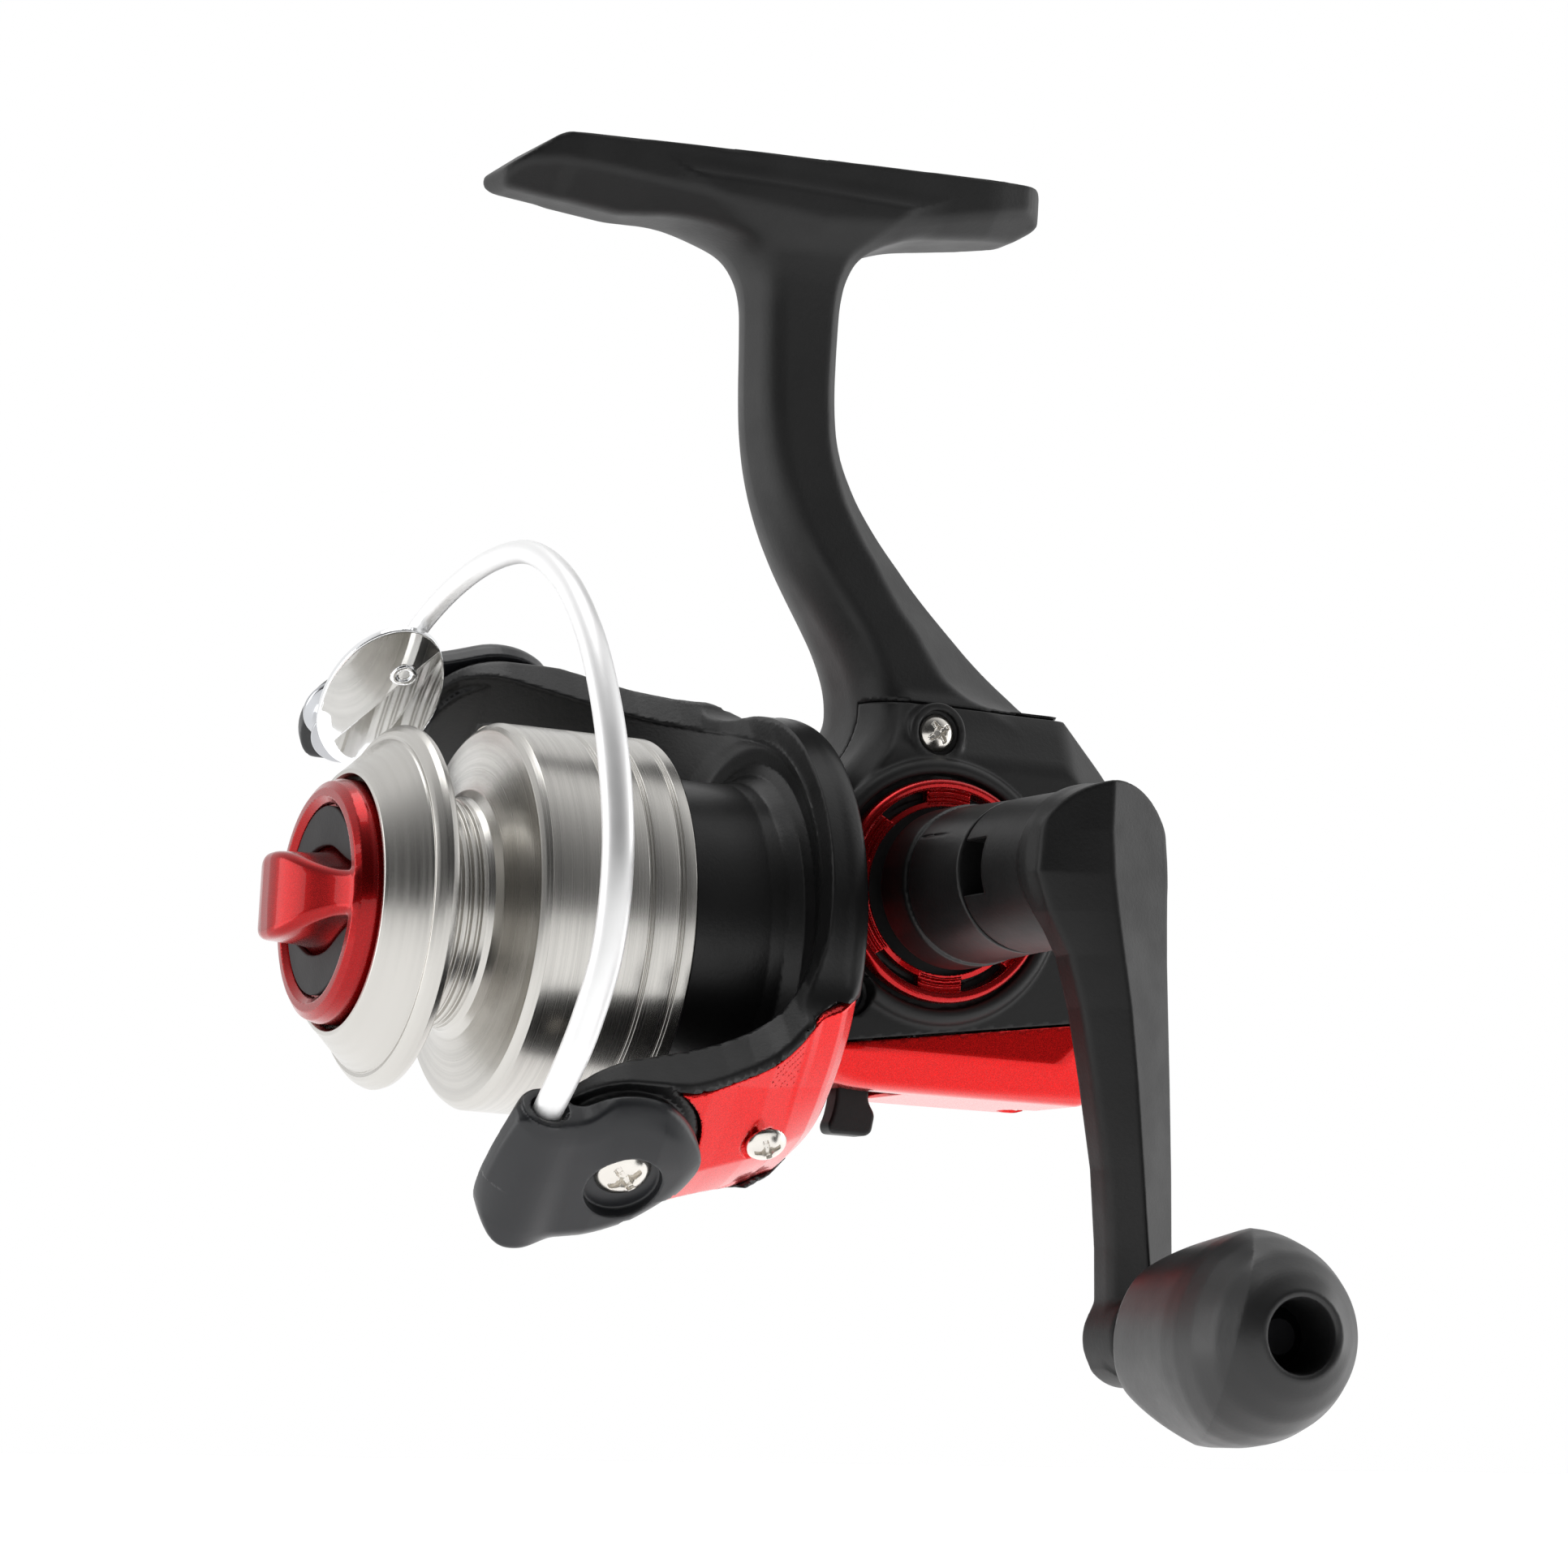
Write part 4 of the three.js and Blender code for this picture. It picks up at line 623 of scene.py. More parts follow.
def ring_d(P):
    x, y, z = P[:, 0], P[:, 1], P[:, 2] - HZ
    r = np.hypot(y, z)
    outer = poly(r, x, fillet([[9.75, 11.25], [10.96, 11.25], [10.96, 12.6], [10.6, 13.0], [9.95, 12.9]], 0.2, 4))
    inner = poly(r, x, [[8.25, 11.35], [8.8, 11.35], [8.8, 12.5], [8.25, 12.7]])
    a = (np.arctan2(z, y) / D2R - 30) % 60
    a = np.minimum(a, 60 - a) * D2R
    w = r * np.sin(a)
    block = mx(mx(np.abs(w) - 2.35, np.abs(r - 9.25) - 0.95, 0.15), np.abs(x - 11.85) - 0.55, 0.15)
    wave = 12.2 + 0.38 * np.cos((r - 8.62) * 2 * math.pi / 0.62)
    ribs = mx(mx(np.abs(w) - 2.2, np.abs(r - 9.25) - 0.95, 0.1), mx(x - wave - 0.15, 11.4 - x), 0.1) * 0.6
    return mn(mn(outer, inner), mn(block, ribs, 0.1), 0.12)


field("ring", ring_d, (10.8, -11.5, HZ - 11.5), (13.6, 11.5, HZ + 11.5), 0.10, M_REDS, "reel_body", ["side_cover_ring"], "red_lacquer")


def screw(name, o, d, R, H, body, reps, shank, slen, spin=0.0, mat=None):
    """Phillips pan head on a plain shank."""
    o, d = np.asarray(o, float), np.asarray(d, float) / np.linalg.norm(d)
    c, s = math.cos(spin), math.sin(spin)

    def f(P):
        a, b, w = loc(P, o, d)
        a, b = a * c + b * s, -a * s + b * c
        r = np.hypot(a, b)
        rad = (R * R + H * H) / (2 * H) if H < R else R
        dome = np.sqrt(r * r + (w - (H - rad)) ** 2) - rad
        head = mx(mx(dome, r - R, 0.25), -w)
        arm = lambda p, q: mx(mx(np.abs(q) - R * 0.135 - 0.10 * (w - H), np.abs(p) - R * 0.60), 0.30 * H - w)
        cross = mn(arm(a, b), arm(b, a), 0.12)
        cone = (r - R * 0.34 - (w - H) * 0.45) * 0.9
        head = mx(head, -mn(cross, mx(cone, 0.15 * H - w), 0.1), 0.06)
        return mn(head, mx(r - shank, np.abs(w + slen / 2) - slen / 2 - 0.02))
    pad = R + 0.4
    ext = np.abs(d)
    lo = np.minimum(o - d * slen, o + d * H) - pad * np.sqrt(np.maximum(0, 1 - ext ** 2)) - 0.4
    hi = np.maximum(o - d * slen, o + d * H) + pad * np.sqrt(np.maximum(0, 1 - ext ** 2)) + 0.4
    field(name, f, lo, hi, R * 0.055, mat or M_NICKEL, body, reps, "plain_steel")


screw("screw_top", (10.15, -0.6, 21.3), X, 1.95, 0.9, "reel_body", ["cover_screw_top"], 0.8, 3.0, 0.6)
screw("screw_rear", (10.15, 19.2, 8.2), X, 1.85, 0.9, "reel_body", ["cover_screw_rear"], 0.8, 3.0, 0.2)
screw("screw_front", (10.15, -8.9, -5.1), X, 1.85, 0.9, "reel_body", ["cover_screw_front"], 0.8, 3.0, 1.0, M_BLUED)
screw("screw_lower", (-4, 17.6, -12.85), -Z, 1.9, 0.9, "reel_body", ["lower_cover_screw"], 0.8, 3.0, 0.4)


def lever_d(P):
    x, y, z = P[:, 0], P[:, 1], P[:, 2]
    a = poly(y, z, fillet([[-5.2, -9], [-1.7, -9], [-1.7, -14.6], [-0.9, -15.8], [-1.2, -17.6], [-1.8, -18.0], [-5.6, -18.0], [-5.9, -17.2], [-5.5, -16.2], [-5.2, -14.6]], 0.5))
    d = slab(a, x, 1.3, 0.35)
    return mn(d, cyl(P, (0, 0, -7.8), Y, 1.2, -12.9, -1.4))


field("stop_switch", lever_d, (-2, -14, -19), (2, 0, -6), 0.16, M_BLACK, "stop_lever", ["anti_reverse_lever"], "black_plastic")

# ------------------------------------------------------------------ rotor
BASE = [[2.6, -14.9], [19.0, -14.9], [19.5, -12.9], [21.6, -12.9], [22.2, -13.5], [22.25, -14.1], [19.85, -16.35], [19.3, -16.1], [17.6, -15.95], [16.4, -16.5], [15.5, -17.8],
        [15.2, -19.4], [15.2, -34.8], [14.7, -35.3], [13.7, -35.3], [13.7, -17.6], [5.2, -17.6], [5.2, -21.2], [2.6, -21.2]]
OUT2 = [[21.9, -12.4], [24.1, -14.7], [26.1, -17.9], [27.8, -21.8], [29.1, -25.6], [30.3, -28.8], [30.95, -31.0], [31.1, -33.0], [31.1, -36.0]]
ARM = [[19.2, -12.4]] + OUT2 + [[31.1, -44.4], [28.3, -44.4], [28.2, -41.4], [25.75, -33.3], [23.4, -25.6], [21.7, -20.5], [20.3, -17.5], [19.2, -16.0]]


def arm_plan(t, y):
    """The arm seen along its normal: straight flanks that flare into the cup with one large radius."""
    half = np.interp(-y, [16.15, 16.6, 17.2, 18, 19, 20.5, 22, 24, 27, 30, 36.3], [19.5, 15.3, 13.4, 11.9, 10.75, 9.7, 9.05, 8.5, 8.1, 7.95, 7.9])
    slope = np.interp(-y, [16.15, 17.2, 18, 20, 24], [0.25, 0.55, 0.70, 0.88, 1.0])
    return np.where(y < PIVOT, np.hypot(t, y - PIVOT) - 7.9, np.where(y > -16.15, -y - 17.5 + 0 * t, (np.abs(t) - half) * slope))


def arm_q(rho, t, y):
    w = np.interp(-y, [17, 30], [1.0, 0.35])
    return np.sqrt(rho * rho + (w * t) ** 2)


def pocket_d(rho, t, y, gap, far):
    """Where the coloured cover lies in the arm; t is counted from the same side on both arms."""
    q = arm_q(rho, t, y)
    depth = poly(q, y, [[a + 3, b] for a, b in OUT2[:1]] + [[a + 3, b] for a, b in OUT2[1:]] + [[a - 1.55, b + 0.25] for a, b in OUT2[::-1]])
    lim = np.where(t < 0, 9.6, 11.2)
    plan = np.where(y > -16.15, -3.0, arm_plan(t, y))
    plan = mx(plan + 0.85 + np.where(t < 0, np.where(far, 1.0, -0.25), 0.0), np.abs(t) - lim, 1.0)
    d = mx(depth, plan)
    d = mx(d, (8.3 - gap) - np.hypot(t, y - PIVOT))
    return d - gap


def rotor_d(P):
    r, y = np.hypot(P[:, 0], P[:, 2]), P[:, 1]
    rho, t = P @ N, P @ T
    base = poly(r, y, BASE)
    tt = t * np.sign(rho)
    q = arm_q(rho, t, y)
    W = arm_plan(t, y)
    arm = poly(q, y, ARM)
    # long bevel between the flank and the outside
    bev = (W + 1.3) * 0.62 + (q - np.interp(-y, [p[1] * -1 for p in OUT2], [p[0] for p in OUT2]) + 0.35) * 0.70
    arm = mx(mx(arm, W, 0.25), bev, 0.2)
    wide = mn((np.abs(t) - 11.0) * 0.85, r - 22.25, 2.5)
    arm = mx(arm, wide, 0.4)
    arm = mx(arm, -pocket_d(np.abs(rho), tt, y, 0.14, rho < 0))
    arm = mx(arm, -mx(np.hypot(t, y - PIVOT) - 8.3, 29.6 - np.abs(rho)))
    d = mn(base, arm, 0.4)
    d = mx(d, -pocket_d(np.abs(rho), tt, y, 0.14, rho < 0))
    pad = mx(mx(np.hypot(t, y - PIVOT) - 6.7, np.abs(rho) - 30.9), 27.3 - np.abs(rho), 0.3)
    d = mn(d, pad, 0.2)
    d = mx(d, -mx(np.hypot(t, y - PIVOT) - 1.75, 20 - np.abs(rho)))
    d = mx(d, -mx(np.hypot(t, y + 20.4) - 0.9, 20 - np.abs(rho)))
    return mx(d, -mx(mx(np.abs(t) - 1.3, np.abs(y + 27.6) - 3.6), 25.4 - rho))


field("rotor_body", rotor_d, (-32, -46, -32), (32, -12, 32), 0.36, M_ROTOR, "rotor_body", ["rotor"], "black_plastic", 2.6)


def armcover_d(sign):
    def f(P):
        y = P[:, 1]
        rho, t = (P @ N) * sign, (P @ T) * sign
        q = arm_q(rho, t, y)
        d = pocket_d(rho, t, y, 0.0, sign < 0)
        top = np.interp(-y, [-p[1] for p in OUT2], [p[0] for p in OUT2])
        fade = np.interp(-y, [14, 18.5], [0.25, 1.0])  # thin where it meets the cup
        # faceted skin: an upper flank, a crown that twists along the arm, and a lower flank
        crown = (q - top - 0.10 + fade * np.clip(0.10 * (t - 0.25 * (y + 24)), -0.3, 0.9)) * 0.9
        upper = (q - top + fade * np.minimum(1.0, 0.25 + 0.24 * (t - 3.2 + 0.30 * (y + 24)))) * 0.86
        low = (q - top + fade * np.minimum(0.95, 0.10 - 0.22 * (t + 4.4))) * 0.86
        d = mx(d, mx(mx(crown, upper, 0.08), low, 0.08), 0.08)
        d = mx(d, y + 12.75)
        d = mx(d, -mx(np.hypot(t, y + 20.4) - 1.1, 20 - rho))
        d = mx(d, -mx(np.hypot(t, y + 20.4) - 2.45, 27.75 - rho), 0.1)
        return mx(d, -rho)
    return f


def bounds_of(rho0, rho1, t0, t1, y0, y1):
    c = np.array([at(a, b, c) for a in (rho0, rho1) for b in (t0, t1) for c in (y0, y1)])
    return c.min(0) - 0.3, c.max(0) + 0.3


field("arm_cover_a", armcover_d(1), *bounds_of(15, 33, -13, 13, -36, -12), 0.26, M_RED, "rotor_body", ["rotor_arm_cover_near"], "red_lacquer", 2.8)
field("arm_cover_b", armcover_d(-1), *bounds_of(-33, -15, -13, 13, -36, -12), 0.26, M_RED, "rotor_body", ["rotor_arm_cover_far"], "red_lacquer", 2.8)
screw("arm_screw_a", at(28.1, 0, -20.4), N, 2.1, 1.15, "rotor_body", ["arm_cover_screw_near"], 0.7, 2.0, 0.5)
screw("arm_screw_b", at(-28.1, 0, -20.4), -N, 2.1, 1.15, "rotor_body", ["arm_cover_screw_far"], 0.7, 2.0, 0.5)
screw("pivot_screw_a", at(33.45, 0, PIVOT), N, 2.8, 1.35, "rotor_body", ["bail_screw_near"], 1.45, 5.5, 0.75)
screw("pivot_screw_b", at(-33.45, 0, PIVOT), -N, 2.8, 1.35, "rotor_body", ["bail_screw_far"], 1.45, 5.5, 0.3)

# ------------------------------------------------------------------ bail
HOLDER = fillet([[-28.3, 1.0], [-28.9, -1.6], [-30.2, -3.8], [-32.6, -6.0], [-36.4, -8.3], [-41.0, -9.7], [-44.4, -9.9], [-46.7, -8.9], [-48.5, -6.7], [-49.0, -3.6], [-48.8, 1.0], [-48.2, 5.0], [-46.8, 5.6], [-43.6, 5.6], [-41.6, 5.9], [-39.4, 7.5], [-36.6, 7.9], [-34.0, 7.4], [-31.6, 5.9], [-29.6, 3.6]], 1.6)


def holder_d(P):
    rho, t, y = P @ N, P @ T, P[:, 1]
    d2 = poly(y, t, HOLDER)
    top = 34.55 + np.interp(y, [-49, -44, -38, -34, -29], [-1.3, -0.35, 0.1, 0.0, -1.0]) - 0.045 * np.maximum(0, t - 1.0) ** 2 * np.clip((y + 43) / 4, 0, 1)
    edge = np.maximum(0, d2 + 2.3)
    side = np.where(t < -3, 1.0, 0.55)
    plate = mx(mx(d2, rho - top + side * edge ** 2 * 0.26, 0.45), 31.28 - rho)
    # tapered socket that the wire enters, lying across the forward end
    rad = np.interp(t, [-12, -7, -1, 4.4, 5.6], [4.1, 3.9, 3.4, 2.8, 2.55])
    ay = np.interp(t, [-10, 5.6], [-44.7, -45.2])
    sock = mx(np.hypot(rho - 31.4, y - ay) - rad, np.abs(t + 1.9) - 7.55, 0.8)
    d = mn(plate, sock, 1.3)
    d = mx(d, d2 - 0.15, 0.5)
    d = mx(d, 31.28 - rho + np.where(t > 1.8, -6.0, 0))
    d = mx(d, -(np.hypot(rho - 31.6, y + 45.2) - 1.95 + np.clip(2.6 - t, 0, 9) * 3), 0.12)
    d = mn(d, mx(mx(np.abs(np.hypot(rho - 31.6, y + 45.2) - 2.12) - 0.42, np.abs(t - 4.4) - 1.15), 31.28 - rho + np.where(t > 1.8, -6.0, 0), 0.1), 0.1)
    d = mx(d, -mx(np.hypot(y + 36.1, t + 1.1) - 3.75, 33.35 - rho, 0.25), 0.15)
    return mx(d, -(np.hypot(t, y - PIVOT) - 1.9))


field("bail_holder", holder_d, *bounds_of(28, 36, -13, 9, -51, -27), 0.21, M_CHAR, "bail", ["bail_holder_near"], "charcoal_plastic")
FAR = fillet([[-29.2, 0], [-29.6, -2.6], [-31.2, -5.4], [-34.4, -7.4], [-39, -8.3], [-43.2, -9.2], [-46.4, -10.1], [-49.4, -10.3], [-51.8, -9.4], [-53.5, -7.4], [-54.2, -4.8], [-53.8, -2.0], [-52.2, 0.8], [-49.4, 2.8], [-45.6, 4.2], [-41.6, 5.4], [-37.4, 7.2], [-34, 7.0], [-31, 5.4], [-29.6, 2.8]], 2.0)


def farm_d(P):
    rho, t, y = -(P @ N), P @ T, P[:, 1]
    d2 = poly(y, t, FAR)
    edge = np.maximum(0, d2 + 3.4)
    d = mx(mx(d2, rho - 34.9 + edge ** 2 * 0.15, 0.8), 31.25 - rho, 0.3)
    d = mx(d, -28.05 - P[:, 0], 1.2)
    d = mx(d, -mx(np.hypot(t, y - PIVOT) - 3.05, 33.3 - rho, 0.3), 0.2)
    d = mx(d, -(np.hypot(t, y - PIVOT) - 1.9))
    return mx(d, -mx(np.hypot(t + 1.6, y + 50.8) - 1.15, rho - 34.0))


field("bail_arm", farm_d, *bounds_of(-36, -30, -12, 9, -57, -28), 0.26, M_CHAR, "bail", ["bail_arm_far"], "charcoal_plastic")


def spline(pts, n):
    """Centripetal Catmull-Rom through pts, n + 1 points evenly spaced."""
    p = np.array(pts, float)
    p = np.vstack([2 * p[0] - p[1], p, 2 * p[-1] - p[-2]])
    out = []
    for i in range(1, len(p) - 2):
        a, b, c, d = p[i - 1], p[i], p[i + 1], p[i + 2]
        t0 = 0.0; t1 = t0 + np.linalg.norm(b - a) ** 0.5; t2 = t1 + np.linalg.norm(c - b) ** 0.5; t3 = t2 + np.linalg.norm(d - c) ** 0.5
        for t in np.linspace(t1, t2, 24, endpoint=i == len(p) - 3):
            A1 = (t1 - t) / (t1 - t0) * a + (t - t0) / (t1 - t0) * b
            A2 = (t2 - t) / (t2 - t1) * b + (t - t1) / (t2 - t1) * c
            A3 = (t3 - t) / (t3 - t2) * c + (t - t2) / (t3 - t2) * d
            B1 = (t2 - t) / (t2 - t0) * A1 + (t - t0) / (t2 - t0) * A2
            B2 = (t3 - t) / (t3 - t1) * A2 + (t - t1) / (t3 - t1) * A3
            out.append((t2 - t) / (t2 - t1) * B1 + (t - t1) / (t2 - t1) * B2)
    out = np.array(out)
    s = np.concatenate([[0], np.cumsum(np.linalg.norm(np.diff(out, axis=0), axis=1))])
    u = np.linspace(0, s[-1], n + 1)
    return np.stack([np.interp(u, s, out[:, k]) for k in range(3)], 1), u / s[-1]


def sweep(name, pts, radii, seg, mat, body, reps=(), slot=None, up0=Y):
    """Round or flattened section swept along pts; radii is (along up, across) per point."""
    up, verts, m = np.array(up0, float), [], len(pts)
    for i, p in enumerate(pts):
        d = pts[min(i + 1, m - 1)] - pts[max(i - 1, 0)]; d = d / np.linalg.norm(d)
        a = up - d * (up @ d); a /= np.linalg.norm(a); up = a
        b = np.cross(d, a)
        for k in range(seg):
            w = 2 * math.pi * k / seg
            verts.append(p + a * radii[i][0] * math.cos(w) + b * radii[i][1] * math.sin(w))
    faces = []
    for i in range(m - 1):
        for k in range(seg):
            q, w = (k + 1) % seg, (i + 1) * seg
            faces.append((i * seg + k, i * seg + q, w + q, w + k))
    faces.append(tuple(range(seg))[::-1]); faces.append(tuple(range((m - 1) * seg, m * seg)))
    return put(name, row(np.array(verts)), faces, mat, body, reps, slot=slot, angle=50)


CTRL = [[31.6, 0.8, -45.2], [31.6, 5, -45.2], [30.9, 10, -44.7], [29.2, 14.5, -44.0], [25.9, 20.6, -43.3], [20.2, 26.9, -43.2], [12.6, 31.0, -43.2], [4.5, 33.3, -43.2], [-3.5, 34.0, -43.2], [-12, 32.9, -43.4], [-19.6, 29.4, -43.9], [-24.8, 23.8, -44.8], [-27.2, 18.2, -46.2], [-27.9, 13.0, -47.6], [-28.0, 9.6, -48.2]]
pts, u = spline([at(*c) for c in CTRL], 220)
rad = [(float(np.interp(q, [0, 0.12, 0.4, 0.6, 0.8, 1], [1.35, 1.5, 1.5, 1.3, 1.12, 1.0])),) * 2 for q in u]
rad = [(a * (1 if i > 1 else 0.8), b * (1 if i > 1 else 0.8)) for i, (a, b) in enumerate(rad)]
sweep("bail_wire_rod", pts, rad, 32, M_WIRE, "bail", ["bail_wire"], "wire_aluminium")

EGG = []
for i in range(96):
    a = 2 * math.pi * i / 96; c, s = math.cos(a), math.sin(a)
    uu, vv, rr = 8.95 * c, 5.65 * s * (1 + 0.10 * c), -0.10
    EGG.append([-50.0 + vv * math.cos(rr) - uu * math.sin(rr), 4.3 + vv * math.sin(rr) + uu * math.cos(rr)])


def plate_d(P):
    rho, t, y = P @ N, P @ T, P[:, 1]
    d2 = poly(y, t, EGG)
    # flat outer field, a field bent back along the rear edge in two steps, and an edge folded in by the roller
    c1 = (y + 48.61) * 0.878 - (t - 5.64) * 0.479
    c2 = (y + 46.98) * 0.964 - (t - 4.05) * 0.264
    fold = -np.maximum(0, -c1) * 0.05 - np.maximum(0, c1) * 0.26 - np.maximum(0, c2) * 0.12
    e1, e2 = np.clip((2.0 - t) / 4.5, 0, 1), np.clip((-46.5 - y) / 4, 0, 1)
    lip = np.maximum(0, d2 + 1.3) * e1 * e1 * (3 - 2 * e1) * e2 * e2 * (3 - 2 * e2) * 0.50
    mid = -26.35 - fold - lip
    body = mx(d2, (np.abs(rho - mid) - 0.40) * 0.93, 0.2)
    k = np.hypot(t - 7.55, y + 48.35)
    riv = mx(np.abs(k - 0.98) - 0.24, np.abs(rho - mid - 0.15) - 0.52, 0.15)
    core = mx(k - 1.15, np.abs(rho - mid + 0.15) - 0.4)
    return mn(body, mn(riv, core, 0.05), 0.12)


field("roller_shield", plate_d, *bounds_of(-29.5, -24.5, -7, 15, -58, -42), 0.15, M_CHROME, "bail", ["roller_plate"], "bright_chrome")
RO = at(0, -1.6, -50.8)
lathe("line_roller_ring", [[1.15, -30.9], [4.1, -30.9], [4.1, -30.4], [3.4, -29.7], [3.15, -29.1], [3.15, -28.5], [3.4, -27.9], [3.95, -27.3], [3.95, -27.0], [1.15, -27.0]], RO, N, M_ROLL, "roller", ["line_roller"], 96, slot="bright_chrome")

# ------------------------------------------------------------------ spool
SP = [[12.1, -54.6], [12.1, -57.4], [12.35, -57.95], [12.75, -57.85], [13.3, -57.2], [15.9, -54.4], [16.0, -54.15], [16.15, -54.15], [16.4, -54.2], [16.8, -53.9], [17.25, -53.4], [17.5, -52.8], [17.3, -52.2], [16.8, -51.9], [16.0, -51.75],
      [12.2, -50.9], [11.3, -50.5], [11.05, -50.0], [11.05, -49.75], [10.75, -49.6], [10.75, -49.4], [11.05, -49.25], [11.05, -48.75], [10.75, -48.6], [10.75, -48.4], [11.05, -48.25], [11.05, -47.75], [10.75, -47.6], [10.75, -47.4], [11.05, -47.25],
      [11.05, -46.8], [11.3, -46.2], [12.0, -45.6], [13.2, -45.15], [15.4, -44.7], [17.9, -44.25], [18.35, -43.9], [18.7, -43.35]]
for g in (-37.2, -36.85, -33.4, -33.05, -30.3, -29.95):
    SP += [[18.7, g - 0.16], [18.52, g - 0.05], [18.52, g + 0.05], [18.7, g + 0.16]]
SP += [[18.7, -28.75], [18.45, -28.5], [17.7, -28.5], [17.6, -28.7], [17.6, -42.2], [10.0, -42.8], [10.0, -48.3], [4.6, -48.3], [4.6, -38.8], [1.65, -38.8], [1.65, -50.2], [6.7, -50.2], [6.7, -54.6]]
lathe("spool_shell", [[a, -b] for a, b in SP][::-1], (0, 0, 0), -Y, M_SPOOL, "spool_body", ["spool"], 224, 0.07, slot="spool_aluminium", angle=24)

# drag dial: ring, floor and finger bar
DIAL = [[0, -59.0], [9.3, -59.0], [9.3, -59.6], [9.9, -60.15], [10.7, -60.1], [11.4, -59.6], [11.7, -58.7], [11.7, -55.4], [10.4, -55.4], [10.4, -57.8], [4.6, -57.8], [4.6, -55.8], [3.9, -55.8], [3.9, -57.6], [1.6, -57.6], [1.6, -58.7], [0, -58.7]]
DIAL_R = [[-0.5 if a == 0 else a, b] for a, b in DIAL]


BX = np.linspace(-13, 13, 521)
_bs = lambda px, py, n: np.convolve(np.pad(np.interp(np.abs(BX), px, py), n // 2, mode="edge"), np.hanning(n + 2)[1:-1] / np.hanning(n + 2)[1:-1].sum(), "valid")
BAR_W = _bs([0, 1.2, 2.4, 3.6, 5, 6.5, 8, 9.5, 11.2], [4.5, 4.45, 4.3, 3.95, 3.35, 2.75, 2.3, 2.05, 2.0], 61)
BAR_H = _bs([0, 1.5, 3, 4.5, 6, 7.5, 9, 10.5, 11.5], [6.3, 6.15, 5.75, 5.05, 4.15, 3.1, 2.1, 1.3, 0.9], 71)


def bar_half(ax):
    return np.interp(ax, BX, BAR_W)


def dial_d(P):
    x, y, z = P[:, 0], P[:, 1], P[:, 2]
    r = np.hypot(x, z)
    d = poly(r, y, DIAL_R) * 1.0
    ax = np.abs(x)
    w = bar_half(ax)
    h = np.minimum(np.interp(ax, BX, BAR_H), 6.2)
    up = -58.95 - y
    flank = np.abs(z) - w - 0.55 * (1 - np.clip(up / 2.2, 0, 1)) ** 2 + 0.05 * up
    bar = mx(flank * 0.85, (-58.95 - h - y) * 0.90, 0.9)
    bar = mx(bar, y + 58.5)
    bar = mx(bar, r - 11.1, 0.5)
    return mn(d, bar, 0.35)


field("drag_dial_body", dial_d, (-12.2, -66, -12.2), (12.2, -55, 12.2), 0.18, M_DIAL, "drag_dial", ["drag_knob"], "red_lacquer")


def inlay_d(sign):
    def f(P):
        x, y, z = P[:, 0], P[:, 1], P[:, 2] * sign
        r = np.hypot(x, z)
        w = bar_half(np.abs(x)) + 0.75
        d = mx(r - 9.05, (w - z) * 0.9, 0.15)
        return mx(d, np.abs(y + 59.42) - 0.27, 0.12)
    return f


field("inlay_a", inlay_d(1), (-9.6, -60.2, 1), (9.6, -58.8, 9.6), 0.17, M_INLAY, "drag_dial", ["drag_inlay_upper"], "grip_rubber")
field("inlay_b", inlay_d(-1), (-9.6, -60.2, -9.6), (9.6, -58.8, -1), 0.17, M_INLAY, "drag_dial", ["drag_inlay_lower"], "grip_rubber")

# ------------------------------------------------------------------ handle
lathe("cap_left", [[0, 11.6], [4.7, 11.6], [4.8, 12.2], [4.8, 13.4], [4.5, 13.9], [3.6, 14.6], [2.2, 14.6], [2.0, 14.2], [0, 14.2]], (0, 0, HZ), -X, M_NICKEL, "drive", ["handle_cap"], 96, slot="plain_steel")


def collar_d(P):
    x, y, z = P[:, 0], P[:, 1], P[:, 2] - HZ
    r = np.hypot(y, z)
    prof = poly(r, x, fillet([[-1, 14.0], [7.45, 14.0], [7.85, 14.5], [7.85, 19.55], [7.5, 19.85], [7.62, 20.2], [7.32, 30.2], [-1, 30.2]], 0.22, 4))
    a = np.arctan2(z, y)
    prof = mx(prof, -(mx(mx(np.abs(a - 2.6) * 7.6 - 0.10, 20.4 - x), 7.42 - r)))
    d = mx(prof, -mx(mx(27.6 - x, 3.9 - y), -20 - z))
    d = mx(d, -mx(r - 1.5, x - 24.4))
    ear = mn(np.hypot(x - 30.5, y - 6.0) - 1.6, mx(np.abs(x - 28.75) - 1.75, np.abs(y - 5.0) - 1.4))
    d = mn(d, mx(ear, np.abs(z) - 1.7))
    return mx(d, -(np.hypot(x - 30.5, y - 6.0) - 1.02))


field("collar", collar_d, (13, -9, HZ - 9), (33, 9, HZ + 9), 0.26, M_ROTOR, "drive", ["handle_collar"], "black_plastic")
lathe("fold_axle", [[0, -4.6], [0.85, -4.6], [0.85, 4.6], [0, 4.6]], (30.5, 6.0, HZ), Z, M_STEEL, "drive", ["fold_pin"], 32, slot="plain_steel")

SEC = np.array([[-44, 2.6, 9.2, 5.8], [-36.0, 2.45, 9.3, 5.2], [-29.7, 2.1, 9.15, 4.3], [-22.5, 1.3, 8.75, 3.4], [-14.6, -0.3, 8.2, 2.4], [-8, -1.8, 7.7, 1.4], [-3.3, -3.3, 7.35, 0.4], [0.6, -5.6, 7.15, -0.4], [4, -6.9, 7.0, -1.0], [8, -6.7, 6.6, -1.4], [14, -6.7, 6.6, -1.4]])


